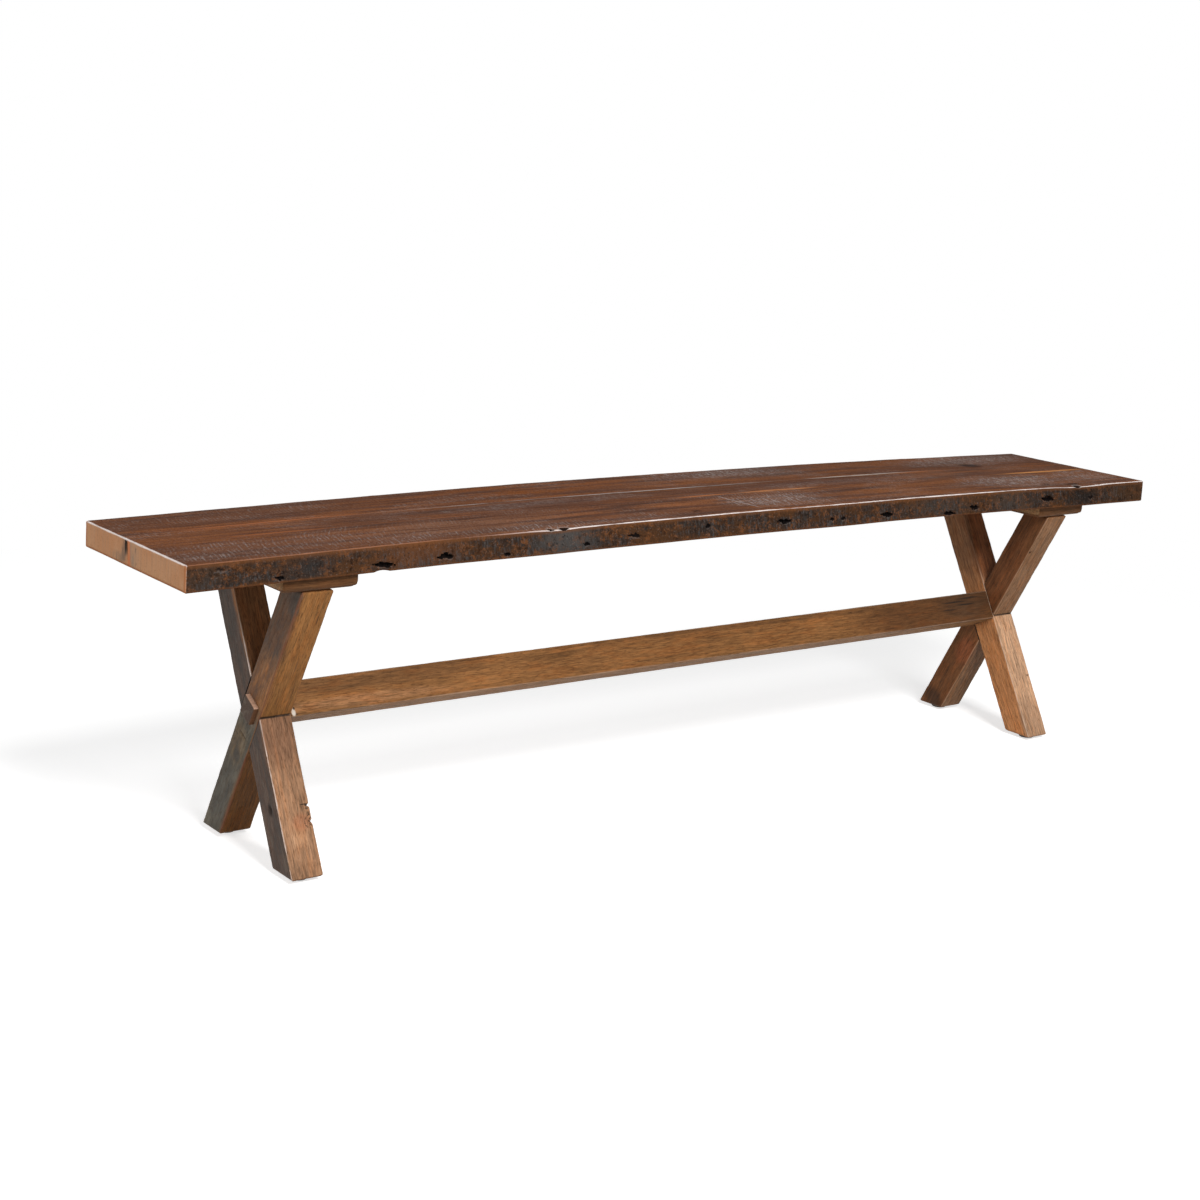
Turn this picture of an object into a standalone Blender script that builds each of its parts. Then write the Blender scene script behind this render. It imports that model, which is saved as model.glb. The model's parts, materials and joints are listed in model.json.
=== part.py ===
"""Rustic bench: a bowed three-board seat on two half-lapped trestles, joined by a stretcher.

Metres, +Z up. X runs along the seat and -Y is the front. The origin lies on the floor, under
the middle of the seat and between the two crossings.
"""

import math

import bmesh
import bpy
from mathutils import Matrix, Vector

# Seat boards, glued edge to edge
SEAT_LENGTH = 1.829
BACK_BOARD_WIDTH = 0.105
MIDDLE_BOARD_WIDTH = 0.067
FRONT_BOARD_WIDTH = 0.130
SEAT_THICKNESS = 0.036
SEAT_CROWN = 0.0065
BACK_EDGE_SWELL = 0.017
FRONT_EDGE_WANDER = 0.003
SEAT_CORNER_RADIUS = 0.006
SEAT_ARRIS = 0.0025

# Chips and a worn hollow in the front arris
CHIP_LENGTH = 0.042
CHIP_DEPTH = 0.006
HOLLOW_LENGTH = 0.130
HOLLOW_DEPTH = 0.0045

# Legs, half-lapped in pairs
LEG_WIDTH = 0.048
LEG_THICKNESS = 0.048
LEG_HEIGHT = 0.391
LEG_ARRIS = 0.0018
TRESTLE_SPAN = 0.264
TRESTLE_INSET = 0.197

# Cleats under the seat
CLEAT_LENGTH = 0.276
CLEAT_WIDTH = 0.113
CLEAT_THICKNESS = 0.019
CLEAT_ROUNDOVER = 0.009
CLEAT_CORNER_RADIUS = 0.012

# Stretcher, with a stub tenon in each inner leg
STRETCHER_DEPTH = 0.050
STRETCHER_RISE = 0.007
STRETCHER_ARRIS = 0.0015
TENON_SIDE = 0.026
TENON_LENGTH = 0.012

# Square plugs over the bolt heads
PLUG_SIDE = 0.030
PLUG_SEAT = 0.008
PLUG_PROUD = 0.007
PLUG_CHAMFER = 0.0012

# Lag bolts through the crossings into the stretcher
BOLT_DIAMETER = 0.008
BOLT_LENGTH = 0.120
BOLT_TIP = 0.010
BOLT_HEAD_FLATS = 0.013
BOLT_HEAD_HEIGHT = 0.0055
WASHER_DIAMETER = 0.020
WASHER_THICKNESS = 0.002

# Screws up through the cleats into the boards
BOARD_SCREW_DIAMETER = 0.0045
BOARD_SCREW_HEAD = 0.009
BOARD_SCREW_LENGTH = 0.042
BOARD_SCREW_SPREAD = 0.082

# Screws down through the cleats into the leg tops
LEG_SCREW_DIAMETER = 0.006
LEG_SCREW_HEAD = 0.012
LEG_SCREW_LENGTH = 0.060
LEG_SCREW_INSET = 0.010
SCREW_RECESS = 0.0015

# Glides nailed under the feet
GLIDE_DIAMETER = 0.026
GLIDE_THICKNESS = 0.005
GLIDE_RIM = 0.0012
NAIL_DIAMETER = 0.0028
NAIL_HEAD = 0.007
NAIL_HEAD_THICKNESS = 0.0012
NAIL_RECESS = 0.0015
NAIL_LENGTH = 0.024

# Clearance between fitted pieces, and how far a cutter runs past what it cuts
FIT_GAP = 0.0003
CUT_OVERRUN = 0.004
MERGE_DISTANCE = 0.00001

# Free edges of the seat in plan, left end to right end, as shares of their swell or wander
BACK_EDGE_SHARES = (0.0, 0.34, 0.58, 0.82, 1.0, 1.0, 0.97, 1.0, 0.85, 0.55, 0.36)
FRONT_EDGE_SHARES = (0.0, -0.5, -0.9, 0.3, 0.0, -0.3, 0.6, -0.6, -0.2, 1.0, 0.0)

# Where the front arris is chipped and hollowed, as shares of the seat's length from its middle
CHIP_PLACE_SHARES = (-0.204, -0.186)
HOLLOW_PLACE_SHARE = 0.398

# Share of a screw's or nail's length that its point takes
POINT_SHARE = 0.16

# Facets and angles
BOARD_STATIONS = 24
ROUND_STEPS = 20
ARRIS_SEGMENTS = 2
CORNER_SEGMENTS = 4
HEAD_SIDES = 6
SHARP_ANGLE = math.radians(35)
QUARTER_TURN = math.pi / 2

# Side of the seat in X for each trestle, and the way in Y that each leg leans towards its top
SIDES = {"left": -1, "right": 1}
LEGS = {"inner": 1, "outer": -1}


def lean_of_legs():
    """Lean from upright at which the outer corners of foot and top lie on the trestle's span."""
    diagonal = math.hypot(TRESTLE_SPAN, LEG_HEIGHT)
    return math.acos(LEG_WIDTH / diagonal) - math.atan2(LEG_HEIGHT, TRESTLE_SPAN)


def crown_at(x):
    """Rise of the bowed seat over its ends, at x along it."""
    return SEAT_CROWN * (1 - (2 * x / SEAT_LENGTH) ** 2)


LEAN = lean_of_legs()
SEAT_WIDTH = BACK_BOARD_WIDTH + MIDDLE_BOARD_WIDTH + FRONT_BOARD_WIDTH + 2 * FIT_GAP
TRESTLE_X = SEAT_LENGTH / 2 - TRESTLE_INSET

# Heights, floor to seat
LEG_FOOT_Z = GLIDE_THICKNESS + FIT_GAP
CROSSING_Z = LEG_FOOT_Z + LEG_HEIGHT / 2
AXIS_Z = CROSSING_Z + STRETCHER_RISE
CLEAT_BOTTOM_Z = LEG_FOOT_Z + LEG_HEIGHT + FIT_GAP
CLEAT_TOP_Z = CLEAT_BOTTOM_Z + CLEAT_THICKNESS
SEAT_END_Z = CLEAT_TOP_Z + FIT_GAP - crown_at(TRESTLE_X)

# Where a leg's middle line passes its foot and top, and the height of the bolts, in Y
LEG_END_Y = LEG_HEIGHT / 2 * math.tan(LEAN)
AXIS_OFFSET_Y = STRETCHER_RISE * math.tan(LEAN)
LEG_SCREW_Y = LEG_END_Y - LEG_SCREW_INSET

# Depths along a bolt, from its trestle's outer face
MORTISE_DEPTH = PLUG_SEAT + FIT_GAP
HEAD_UNDERSIDE = MORTISE_DEPTH + BOLT_HEAD_HEIGHT
WASHER_TOP = HEAD_UNDERSIDE + FIT_GAP
WASHER_UNDERSIDE = WASHER_TOP + WASHER_THICKNESS
BOLT_END = HEAD_UNDERSIDE + BOLT_LENGTH


def clear_scene():
    """Remove the objects that the file opened with."""
    for old in list(bpy.data.objects):
        bpy.data.objects.remove(old, do_unlink=True)


def new_collection(name):
    """Make an empty collection in the scene."""
    made = bpy.data.collections.new(name)
    bpy.context.scene.collection.children.link(made)
    return made


def finish(name, colour, roughness, metallic=0.0):
    """Make one sub-part's Principled material."""
    made = bpy.data.materials.new(name)
    made.use_nodes = True
    shader = made.node_tree.nodes["Principled BSDF"]
    shader.inputs["Base Color"].default_value = (*colour, 1.0)
    shader.inputs["Roughness"].default_value = roughness
    shader.inputs["Metallic"].default_value = metallic
    return made


def dark_stain(name):
    """Dark red-brown stain on the sawn boards."""
    return finish(name + "_stain", (0.105, 0.042, 0.020), 0.45)


def oiled_oak(name):
    """Mid-brown oiled oak."""
    return finish(name + "_oil", (0.330, 0.175, 0.075), 0.55)


def grey_oak(name):
    """Oak gone grey-brown, on the faces that look outwards."""
    return finish(name + "_greyed_oil", (0.225, 0.150, 0.095), 0.65)


def dark_end_grain(name):
    """Dark end grain of a square plug."""
    return finish(name + "_end_grain", (0.120, 0.080, 0.060), 0.70)


def zinc_plate(name):
    """Zinc-plated steel."""
    return finish(name + "_zinc", (0.620, 0.620, 0.600), 0.35, 1.0)


def brown_nylon(name):
    """Dark brown nylon."""
    return finish(name + "_nylon", (0.045, 0.025, 0.018), 0.50)


def add_object(name, mesh, collection, place=(0.0, 0.0, 0.0), turn=(0.0, 0.0, 0.0), parent=None):
    """Put a mesh in the scene as one named object."""
    made = bpy.data.objects.new(name, mesh)
    collection.objects.link(made)
    made.location = place
    made.rotation_euler = turn
    made.parent = parent
    return made


def add_piece(name, mesh, material, place=(0.0, 0.0, 0.0), turn=(0.0, 0.0, 0.0), parent=None):
    """Put one sub-part of the bench in the scene."""
    mesh.materials.append(material)
    return add_object(name, mesh, PARTS, place, turn, parent)


def add_tool(mesh, place=(0.0, 0.0, 0.0), turn=(0.0, 0.0, 0.0), parent=None):
    """Put a shape in the scene that only cuts a piece or is joined to one."""
    made = add_object(mesh.name, mesh, CUTTERS, place, turn, parent)
    made.hide_render = True
    made.display_type = "WIRE"
    return made


def add_boolean(piece, tool, operation="DIFFERENCE"):
    """Cut a piece with a tool, or join the tool to it."""
    step = piece.modifiers.new(f"{operation.title()} {tool.name}", "BOOLEAN")
    step.operation = operation
    step.solver = "EXACT"
    step.object = tool


def add_bevel(piece, width):
    """Ease every sharp edge of a piece."""
    bevel = piece.modifiers.new("Eased edges", "BEVEL")
    bevel.limit_method = "ANGLE"
    bevel.angle_limit = SHARP_ANGLE
    bevel.width = width
    bevel.segments = ARRIS_SEGMENTS


def mesh_from(name, shape):
    """Turn a BMesh into a mesh and free it."""
    mesh = bpy.data.meshes.new(name)
    shape.to_mesh(mesh)
    shape.free()
    return mesh


def block(low, high):
    """Box between two corners."""
    shape = bmesh.new()
    bmesh.ops.create_cube(shape, size=1)
    bmesh.ops.scale(shape, vec=Vector(high) - Vector(low), verts=shape.verts)
    bmesh.ops.translate(shape, vec=(Vector(low) + Vector(high)) / 2, verts=shape.verts)
    return shape


def square_peg(name, half_side, start, end):
    """Mesh of a square bar along X, between two places in any order."""
    low = (min(start, end), -half_side, -half_side)
    high = (max(start, end), half_side, half_side)
    return mesh_from(name, block(low, high))


def turned_mesh(name, outline, closed=False):
    """Mesh turned round Z from (radius, height) points that run from top to bottom."""
    shape = bmesh.new()
    points = [shape.verts.new((radius, 0.0, height)) for radius, height in outline]
    following = points[1:] + points[:1] if closed else points[1:]
    for first, second in zip(points, following):
        shape.edges.new((first, second))
    lathe = add_object(name, mesh_from(name + "_outline", shape), CUTTERS)
    turn = lathe.modifiers.new("Turn", "SCREW")
    turn.steps = ROUND_STEPS
    turn.render_steps = ROUND_STEPS
    turn.use_merge_vertices = True
    turn.merge_threshold = MERGE_DISTANCE
    bpy.context.view_layer.update()
    evaluated = lathe.evaluated_get(bpy.context.evaluated_depsgraph_get())
    mesh = bpy.data.meshes.new_from_object(evaluated)
    bpy.data.objects.remove(lathe, do_unlink=True)
    mesh.name = name
    mesh.shade_smooth()
    mesh.set_sharp_from_angle(angle=SHARP_ANGLE)
    return mesh


def screw_outline(diameter, head, length, grow=0.0):
    """Countersunk wood screw with its head's face at zero, grown by a clearance."""
    radius = diameter / 2 + grow
    return (
        (0.0, 0.0),
        (head / 2 + grow, 0.0),
        (radius, (diameter - head) / 2),
        (radius, length * (POINT_SHARE - 1)),
        (0.0, -length - grow),
    )


def nail_outline(grow=0.0):
    """Flat-headed nail with its head's face at zero, grown by a clearance."""
    head = NAIL_HEAD / 2 + grow
    radius = NAIL_DIAMETER / 2 + grow
    underside = -NAIL_HEAD_THICKNESS - grow
    return (
        (0.0, 0.0),
        (head, 0.0),
        (head, underside),
        (radius, underside),
        (radius, NAIL_LENGTH * (POINT_SHARE - 1)),
        (0.0, -NAIL_LENGTH - grow),
    )


def with_mouth(outline):
    """Outline of a fastener's bore, open past the face of its head."""
    rim = outline[1][0]
    return (0.0, CUT_OVERRUN), (rim, CUT_OVERRUN), *outline[1:]


def add_fastener(name, outlines, holders, place, turn, frame):
    """Put in a turned fastener and bore its hole through each piece that holds it."""
    solid, grown = outlines
    add_piece(name, turned_mesh(name, solid), zinc_plate(name), place, turn, frame)
    bore = add_tool(turned_mesh(name + "_bore", with_mouth(grown)), place, turn, frame)
    for holder in holders:
        add_boolean(holder, bore)


def share_at(shares, along):
    """Value of evenly spaced shares at 0 to 1 along them, eased from one to the next."""
    place = min(max(along, 0.0), 1.0) * (len(shares) - 1)
    first = min(int(place), len(shares) - 2)
    blend = (1 - math.cos((place - first) * math.pi)) / 2
    return shares[first] * (1 - blend) + shares[first + 1] * blend


def back_edge_at(x):
    """Y of the seat's back edge at x."""
    return SEAT_WIDTH / 2 + BACK_EDGE_SWELL * share_at(BACK_EDGE_SHARES, x / SEAT_LENGTH + 1 / 2)


def front_edge_at(x):
    """Y of the seat's front edge at x."""
    wander = FRONT_EDGE_WANDER * share_at(FRONT_EDGE_SHARES, x / SEAT_LENGTH + 1 / 2)
    return -SEAT_WIDTH / 2 - wander


def runs_along(edge, axis):
    """True for an edge that runs along one axis: 0 for X, 1 for Y, 2 for Z."""
    step = edge.verts[1].co - edge.verts[0].co
    return abs(step[axis]) > step.length / 2


def lies_on(edge, y):
    """True for an edge in the upright plane at y."""
    return all(abs(vert.co.y - y) < MERGE_DISTANCE for vert in edge.verts)


def round_edges(shape, edges, width, segments):
    """Round the given edges of a BMesh."""
    bmesh.ops.bevel(
        shape, geom=edges, offset=width, offset_type="OFFSET", segments=segments,
        profile=0.5, affect="EDGES", clamp_overlap=True,
    )


def board_blank(front_y, back_y):
    """Straight board, divided into stations along its length."""
    low = (-SEAT_LENGTH / 2, front_y, SEAT_END_Z)
    high = (SEAT_LENGTH / 2, back_y, SEAT_END_Z + SEAT_THICKNESS)
    shape = block(low, high)
    long_edges = [edge for edge in shape.edges if runs_along(edge, 0)]
    bmesh.ops.subdivide_edges(shape, edges=long_edges, cuts=BOARD_STATIONS - 1, use_grid_fill=True)
    return shape


def seat_board(name, front_y, back_y, free_y=None, edge_at=None):
    """Bowed board. Its free side, where it has one, follows the edge of the seat in plan."""
    shape = board_blank(front_y, back_y)
    joints = [y for y in (front_y, back_y) if y != free_y]
    end_x = SEAT_LENGTH / 2 - MERGE_DISTANCE
    corners = [
        edge for edge in shape.edges
        if runs_along(edge, 2) and abs(edge.verts[0].co.x) > end_x
        and not any(lies_on(edge, y) for y in joints)
    ]
    for vert in shape.verts:
        if free_y is not None and abs(vert.co.y - free_y) < MERGE_DISTANCE:
            vert.co.y = edge_at(vert.co.x)
        vert.co.z += crown_at(vert.co.x)
    if corners:
        round_edges(shape, corners, SEAT_CORNER_RADIUS, CORNER_SEGMENTS)
    arrises = [
        edge for edge in shape.edges
        if not runs_along(edge, 2) and edge.calc_face_angle() > SHARP_ANGLE
        and not any(lies_on(edge, y) for y in joints)
    ]
    round_edges(shape, arrises, SEAT_ARRIS, ARRIS_SEGMENTS)
    return add_piece(name, mesh_from(name, shape), dark_stain(name))


def wear_arris(board, name, place_share, length, depth):
    """Scoop a chip or a hollow out of the front arris."""
    x = place_share * SEAT_LENGTH
    shape = bmesh.new()
    bmesh.ops.create_uvsphere(shape, u_segments=ROUND_STEPS, v_segments=ROUND_STEPS // 2, radius=1)
    bmesh.ops.scale(shape, vec=(length / 2, depth, depth), verts=shape.verts)
    place = (x, front_edge_at(x), SEAT_END_Z + crown_at(x) + SEAT_THICKNESS)
    add_boolean(board, add_tool(mesh_from(name, shape), place))


def make_seat():
    """Make the three boards and wear the front one. Each comes back with its middle in Y."""
    back_y = SEAT_WIDTH / 2
    front_y = -back_y
    rear_joint_y = back_y - BACK_BOARD_WIDTH
    front_joint_y = front_y + FRONT_BOARD_WIDTH
    middle_front_y = front_joint_y + FIT_GAP
    middle_back_y = middle_front_y + MIDDLE_BOARD_WIDTH
    back = seat_board("back_board", rear_joint_y, back_y, back_y, back_edge_at)
    middle = seat_board("middle_board", middle_front_y, middle_back_y)
    front = seat_board("front_board", front_y, front_joint_y, front_y, front_edge_at)
    for number, share in enumerate(CHIP_PLACE_SHARES, 1):
        wear_arris(front, f"arris_chip_{number}", share, CHIP_LENGTH, CHIP_DEPTH)
    wear_arris(front, "arris_hollow", HOLLOW_PLACE_SHARE, HOLLOW_LENGTH, HOLLOW_DEPTH)
    return (
        (back, (rear_joint_y + back_y) / 2),
        (middle, (middle_front_y + middle_back_y) / 2),
        (front, (front_y + front_joint_y) / 2),
    )


def saw_level(shape, up):
    """Saw one end of a leaning leg level and close the cut."""
    saw = bmesh.ops.bisect_plane(
        shape, geom=[*shape.verts, *shape.edges, *shape.faces], dist=MERGE_DISTANCE,
        plane_co=(0.0, 0.0, up * LEG_HEIGHT / 2), plane_no=(0.0, 0.0, up), clear_outer=True,
    )
    rim = [item for item in saw["geom_cut"] if isinstance(item, bmesh.types.BMEdge)]
    bmesh.ops.contextual_create(shape, geom=rim)


def make_leg(name, lean, material, frame):
    """Square post that leans towards +Y at its top for a lean of 1, and -Y for -1."""
    blank = LEG_HEIGHT / math.cos(LEAN) + LEG_WIDTH * math.tan(LEAN) + CUT_OVERRUN
    half = Vector((LEG_THICKNESS, LEG_WIDTH, blank)) / 2
    shape = block(-half, half)
    turn = Matrix.Rotation(-lean * LEAN, 4, "X")
    bmesh.ops.transform(shape, matrix=turn, verts=shape.verts)
    saw_level(shape, 1)
    saw_level(shape, -1)
    bmesh.ops.recalc_face_normals(shape, faces=shape.faces)
    leg = add_piece(name, mesh_from(name, shape), material, (0.0, 0.0, CROSSING_Z), parent=frame)
    add_bevel(leg, LEG_ARRIS)
    return leg


def cut_lap(leg, lean, kept_side, frame):
    """Halve a leg where the other one crosses it. Its wood stays on the kept side, in X."""
    half_width = LEG_WIDTH / 2 + FIT_GAP
    half_run = LEG_WIDTH / 2 / math.tan(LEAN) + CUT_OVERRUN
    start = kept_side * FIT_GAP / 2
    end = -kept_side * (LEG_THICKNESS / 2 + CUT_OVERRUN)
    low = (min(start, end), -half_width, -half_run)
    high = (max(start, end), half_width, half_run)
    mesh = mesh_from(leg.name + "_lap", block(low, high))
    place = (0.0, 0.0, CROSSING_Z)
    add_boolean(leg, add_tool(mesh, place, (lean * LEAN, 0.0, 0.0), frame))


def cut_square_seat(leg, lean, half_side, face_x, depth, frame):
    """Cut a square mortise in line with a leg, level with the bolt."""
    inwards = -1 if face_x > 0 else 1
    bottom = face_x + inwards * depth
    mouth = face_x - inwards * CUT_OVERRUN
    mesh = square_peg(leg.name + "_mortise", half_side + FIT_GAP, bottom, mouth)
    place = (0.0, lean * AXIS_OFFSET_Y, AXIS_Z)
    add_boolean(leg, add_tool(mesh, place, (-lean * LEAN, 0.0, 0.0), frame))


def make_legs(side_name, side, frame):
    """The trestle's two legs: the inner one tops out at the back, the outer one at the front."""
    names = {kind: f"{side_name}_{kind}_leg" for kind in LEGS}
    outer_finish = grey_oak if side < 0 else oiled_oak
    inner = make_leg(names["inner"], LEGS["inner"], oiled_oak(names["inner"]), frame)
    outer = make_leg(names["outer"], LEGS["outer"], outer_finish(names["outer"]), frame)
    cut_lap(inner, LEGS["inner"], -side, frame)
    cut_lap(outer, LEGS["outer"], side, frame)
    face = side * LEG_THICKNESS / 2
    cut_square_seat(inner, LEGS["inner"], TENON_SIDE / 2, -face, TENON_LENGTH + FIT_GAP, frame)
    cut_square_seat(outer, LEGS["outer"], PLUG_SIDE / 2, face, MORTISE_DEPTH, frame)
    return {"inner": inner, "outer": outer}


def make_plug(side_name, side, frame):
    """Square plug that stands proud of the outer leg and is turned in line with it."""
    name = side_name + "_plug"
    face = side * LEG_THICKNESS / 2
    mesh = square_peg(name, PLUG_SIDE / 2, face - side * PLUG_SEAT, face + side * PLUG_PROUD)
    lean = LEGS["outer"]
    place = (0.0, lean * AXIS_OFFSET_Y, AXIS_Z)
    plug = add_piece(name, mesh, dark_end_grain(name), place, (-lean * LEAN, 0.0, 0.0), frame)
    add_bevel(plug, PLUG_CHAMFER)


def make_stretcher():
    """Square beam between the trestles, its sides in line with the inner legs."""
    turn = (-LEGS["inner"] * LEAN, 0.0, 0.0)
    place = (0.0, LEGS["inner"] * AXIS_OFFSET_Y, AXIS_Z)
    inner_face = TRESTLE_X - LEG_THICKNESS / 2
    half = Vector((inner_face - FIT_GAP, LEG_WIDTH / 2, STRETCHER_DEPTH / 2))
    mesh = mesh_from("stretcher", block(-half, half))
    stretcher = add_piece("stretcher", mesh, oiled_oak("stretcher"), place, turn)
    add_bevel(stretcher, STRETCHER_ARRIS)
    tip = inner_face + TENON_LENGTH
    tenons = square_peg("stretcher_tenons", TENON_SIDE / 2, -tip, tip)
    add_boolean(stretcher, add_tool(tenons, place, turn), "UNION")
    return stretcher


def bolt_bore_outline():
    """Bore for a bolt: a counterbore for head and washer, then the hole for the shank."""
    wide = WASHER_DIAMETER / 2 + FIT_GAP
    narrow = BOLT_DIAMETER / 2 + FIT_GAP
    step = -WASHER_UNDERSIDE - FIT_GAP
    end = -BOLT_END - FIT_GAP
    mouth = (0.0, CUT_OVERRUN), (wide, CUT_OVERRUN)
    return *mouth, (wide, step), (narrow, step), (narrow, end), (0.0, end)


def make_bolt(side_name, side, holders, frame):
    """Hex-headed lag bolt through the crossing into the stretcher."""
    name = side_name + "_bolt"
    place = (side * LEG_THICKNESS / 2, 0.0, AXIS_Z)
    turn = (0.0, side * QUARTER_TURN, 0.0)
    radius = BOLT_DIAMETER / 2
    mid_head = BOLT_HEAD_HEIGHT / 2 - HEAD_UNDERSIDE
    outline = (0.0, mid_head), (radius, mid_head), (radius, BOLT_TIP - BOLT_END), (0.0, -BOLT_END)
    bolt = add_piece(name, turned_mesh(name, outline), zinc_plate(name), place, turn, frame)
    head = bmesh.new()
    corner = BOLT_HEAD_FLATS / 2 / math.cos(math.pi / HEAD_SIDES)
    bmesh.ops.create_cone(
        head, cap_ends=True, segments=HEAD_SIDES, radius1=corner, radius2=corner,
        depth=BOLT_HEAD_HEIGHT, matrix=Matrix.Translation((0.0, 0.0, mid_head)),
    )
    add_boolean(bolt, add_tool(mesh_from(name + "_head", head), place, turn, frame), "UNION")
    bore = add_tool(turned_mesh(name + "_bore", bolt_bore_outline()), place, turn, frame)
    for holder in holders:
        add_boolean(holder, bore)


def make_washer(side_name, side, frame):
    """Flat washer under a bolt's head."""
    name = side_name + "_washer"
    hole = BOLT_DIAMETER / 2 + FIT_GAP
    rim = WASHER_DIAMETER / 2
    top = (hole, -WASHER_TOP), (rim, -WASHER_TOP)
    underside = (rim, -WASHER_UNDERSIDE), (hole, -WASHER_UNDERSIDE)
    mesh = turned_mesh(name, (*top, *underside), closed=True)
    place = (side * LEG_THICKNESS / 2, 0.0, AXIS_Z)
    add_piece(name, mesh, zinc_plate(name), place, (0.0, side * QUARTER_TURN, 0.0), frame)


def make_cleat(side_name, side, frame):
    """Cleat with rounded lower edges, its top planed to the slope of the seat above it."""
    name = side_name + "_cleat"
    half_width = CLEAT_WIDTH / 2
    half_length = CLEAT_LENGTH / 2
    shape = block((-half_width, -half_length, 0.0), (half_width, half_length, CLEAT_THICKNESS))
    upright = [edge for edge in shape.edges if runs_along(edge, 2)]
    round_edges(shape, upright, CLEAT_CORNER_RADIUS, CORNER_SEGMENTS)
    lower = [edge for edge in shape.edges if max(vert.co.z for vert in edge.verts) < MERGE_DISTANCE]
    round_edges(shape, lower, CLEAT_ROUNDOVER, CORNER_SEGMENTS)
    middle = side * TRESTLE_X
    slope = (crown_at(middle + half_width) - crown_at(middle - half_width)) / CLEAT_WIDTH
    for vert in shape.verts:
        if CLEAT_THICKNESS - vert.co.z < MERGE_DISTANCE:
            vert.co.z += slope * vert.co.x
    place = (0.0, 0.0, CLEAT_BOTTOM_Z)
    return add_piece(name, mesh_from(name, shape), oiled_oak(name), place, parent=frame)


def make_leg_screws(side_name, cleat, legs, frame):
    """Screws down through the cleat into the tops of the legs."""
    size = (LEG_SCREW_DIAMETER, LEG_SCREW_HEAD, LEG_SCREW_LENGTH)
    outlines = screw_outline(*size), screw_outline(*size, FIT_GAP)
    for kind, lean in LEGS.items():
        name = f"{side_name}_{kind}_leg_screw"
        place = (0.0, lean * LEG_SCREW_Y, CLEAT_TOP_Z - SCREW_RECESS)
        add_fastener(name, outlines, (cleat, legs[kind]), place, (0.0, 0.0, 0.0), frame)


def make_board_screws(side_name, cleat, boards, frame):
    """Screws up through the cleat, two into each board."""
    size = (BOARD_SCREW_DIAMETER, BOARD_SCREW_HEAD, BOARD_SCREW_LENGTH)
    outlines = screw_outline(*size), screw_outline(*size, FIT_GAP)
    seats = [(board, y, across) for board, y in boards for across in (-1, 1)]
    for number, (board, y, across) in enumerate(seats, 1):
        name = f"{side_name}_board_screw_{number}"
        place = (across * BOARD_SCREW_SPREAD / 2, y, CLEAT_BOTTOM_Z + SCREW_RECESS)
        add_fastener(name, outlines, (cleat, board), place, (math.pi, 0.0, 0.0), frame)


def make_glides(side_name, legs, frame):
    """Round glides under the feet, each held by a nail."""
    rim = GLIDE_DIAMETER / 2
    top = (0.0, GLIDE_THICKNESS), (rim, GLIDE_THICKNESS)
    base = (rim, GLIDE_RIM), (rim - GLIDE_RIM, 0.0), (0.0, 0.0)
    for kind, lean in LEGS.items():
        end = "front" if lean > 0 else "back"
        name = f"{side_name}_{end}_glide"
        place = (0.0, -lean * LEG_END_Y, 0.0)
        mesh = turned_mesh(name, (*top, *base))
        glide = add_piece(name, mesh, brown_nylon(name), place, parent=frame)
        nail_place = (0.0, -lean * LEG_END_Y, NAIL_RECESS)
        outlines = nail_outline(), nail_outline(FIT_GAP)
        holders = (glide, legs[kind])
        add_fastener(name + "_nail", outlines, holders, nail_place, (math.pi, 0.0, 0.0), frame)


def make_trestle(side_name, side, boards, stretcher):
    """Everything that carries one end of the seat."""
    frame = bpy.data.objects.new(side_name + "_trestle", None)
    PARTS.objects.link(frame)
    frame.location.x = side * TRESTLE_X
    legs = make_legs(side_name, side, frame)
    make_plug(side_name, side, frame)
    make_bolt(side_name, side, (legs["outer"], legs["inner"], stretcher), frame)
    make_washer(side_name, side, frame)
    cleat = make_cleat(side_name, side, frame)
    make_leg_screws(side_name, cleat, legs, frame)
    make_board_screws(side_name, cleat, boards, frame)
    make_glides(side_name, legs, frame)


clear_scene()
PARTS = new_collection("rustic_bench")
CUTTERS = new_collection("bench_cutters")
seat_boards = make_seat()
beam = make_stretcher()
for trestle_name, trestle_side in SIDES.items():
    make_trestle(trestle_name, trestle_side, seat_boards, beam)
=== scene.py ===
"""Rustic bench, dressed: worn sawn boards on crossed oak legs, in the frame of the packed model.

Metres, +Z up. X runs along the seat and -Y is the front.
"""

import json
import math
from dataclasses import dataclass

import bmesh
import bpy
from bpy.props import FloatProperty, FloatVectorProperty, PointerProperty
from mathutils import Matrix, Vector, noise


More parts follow.
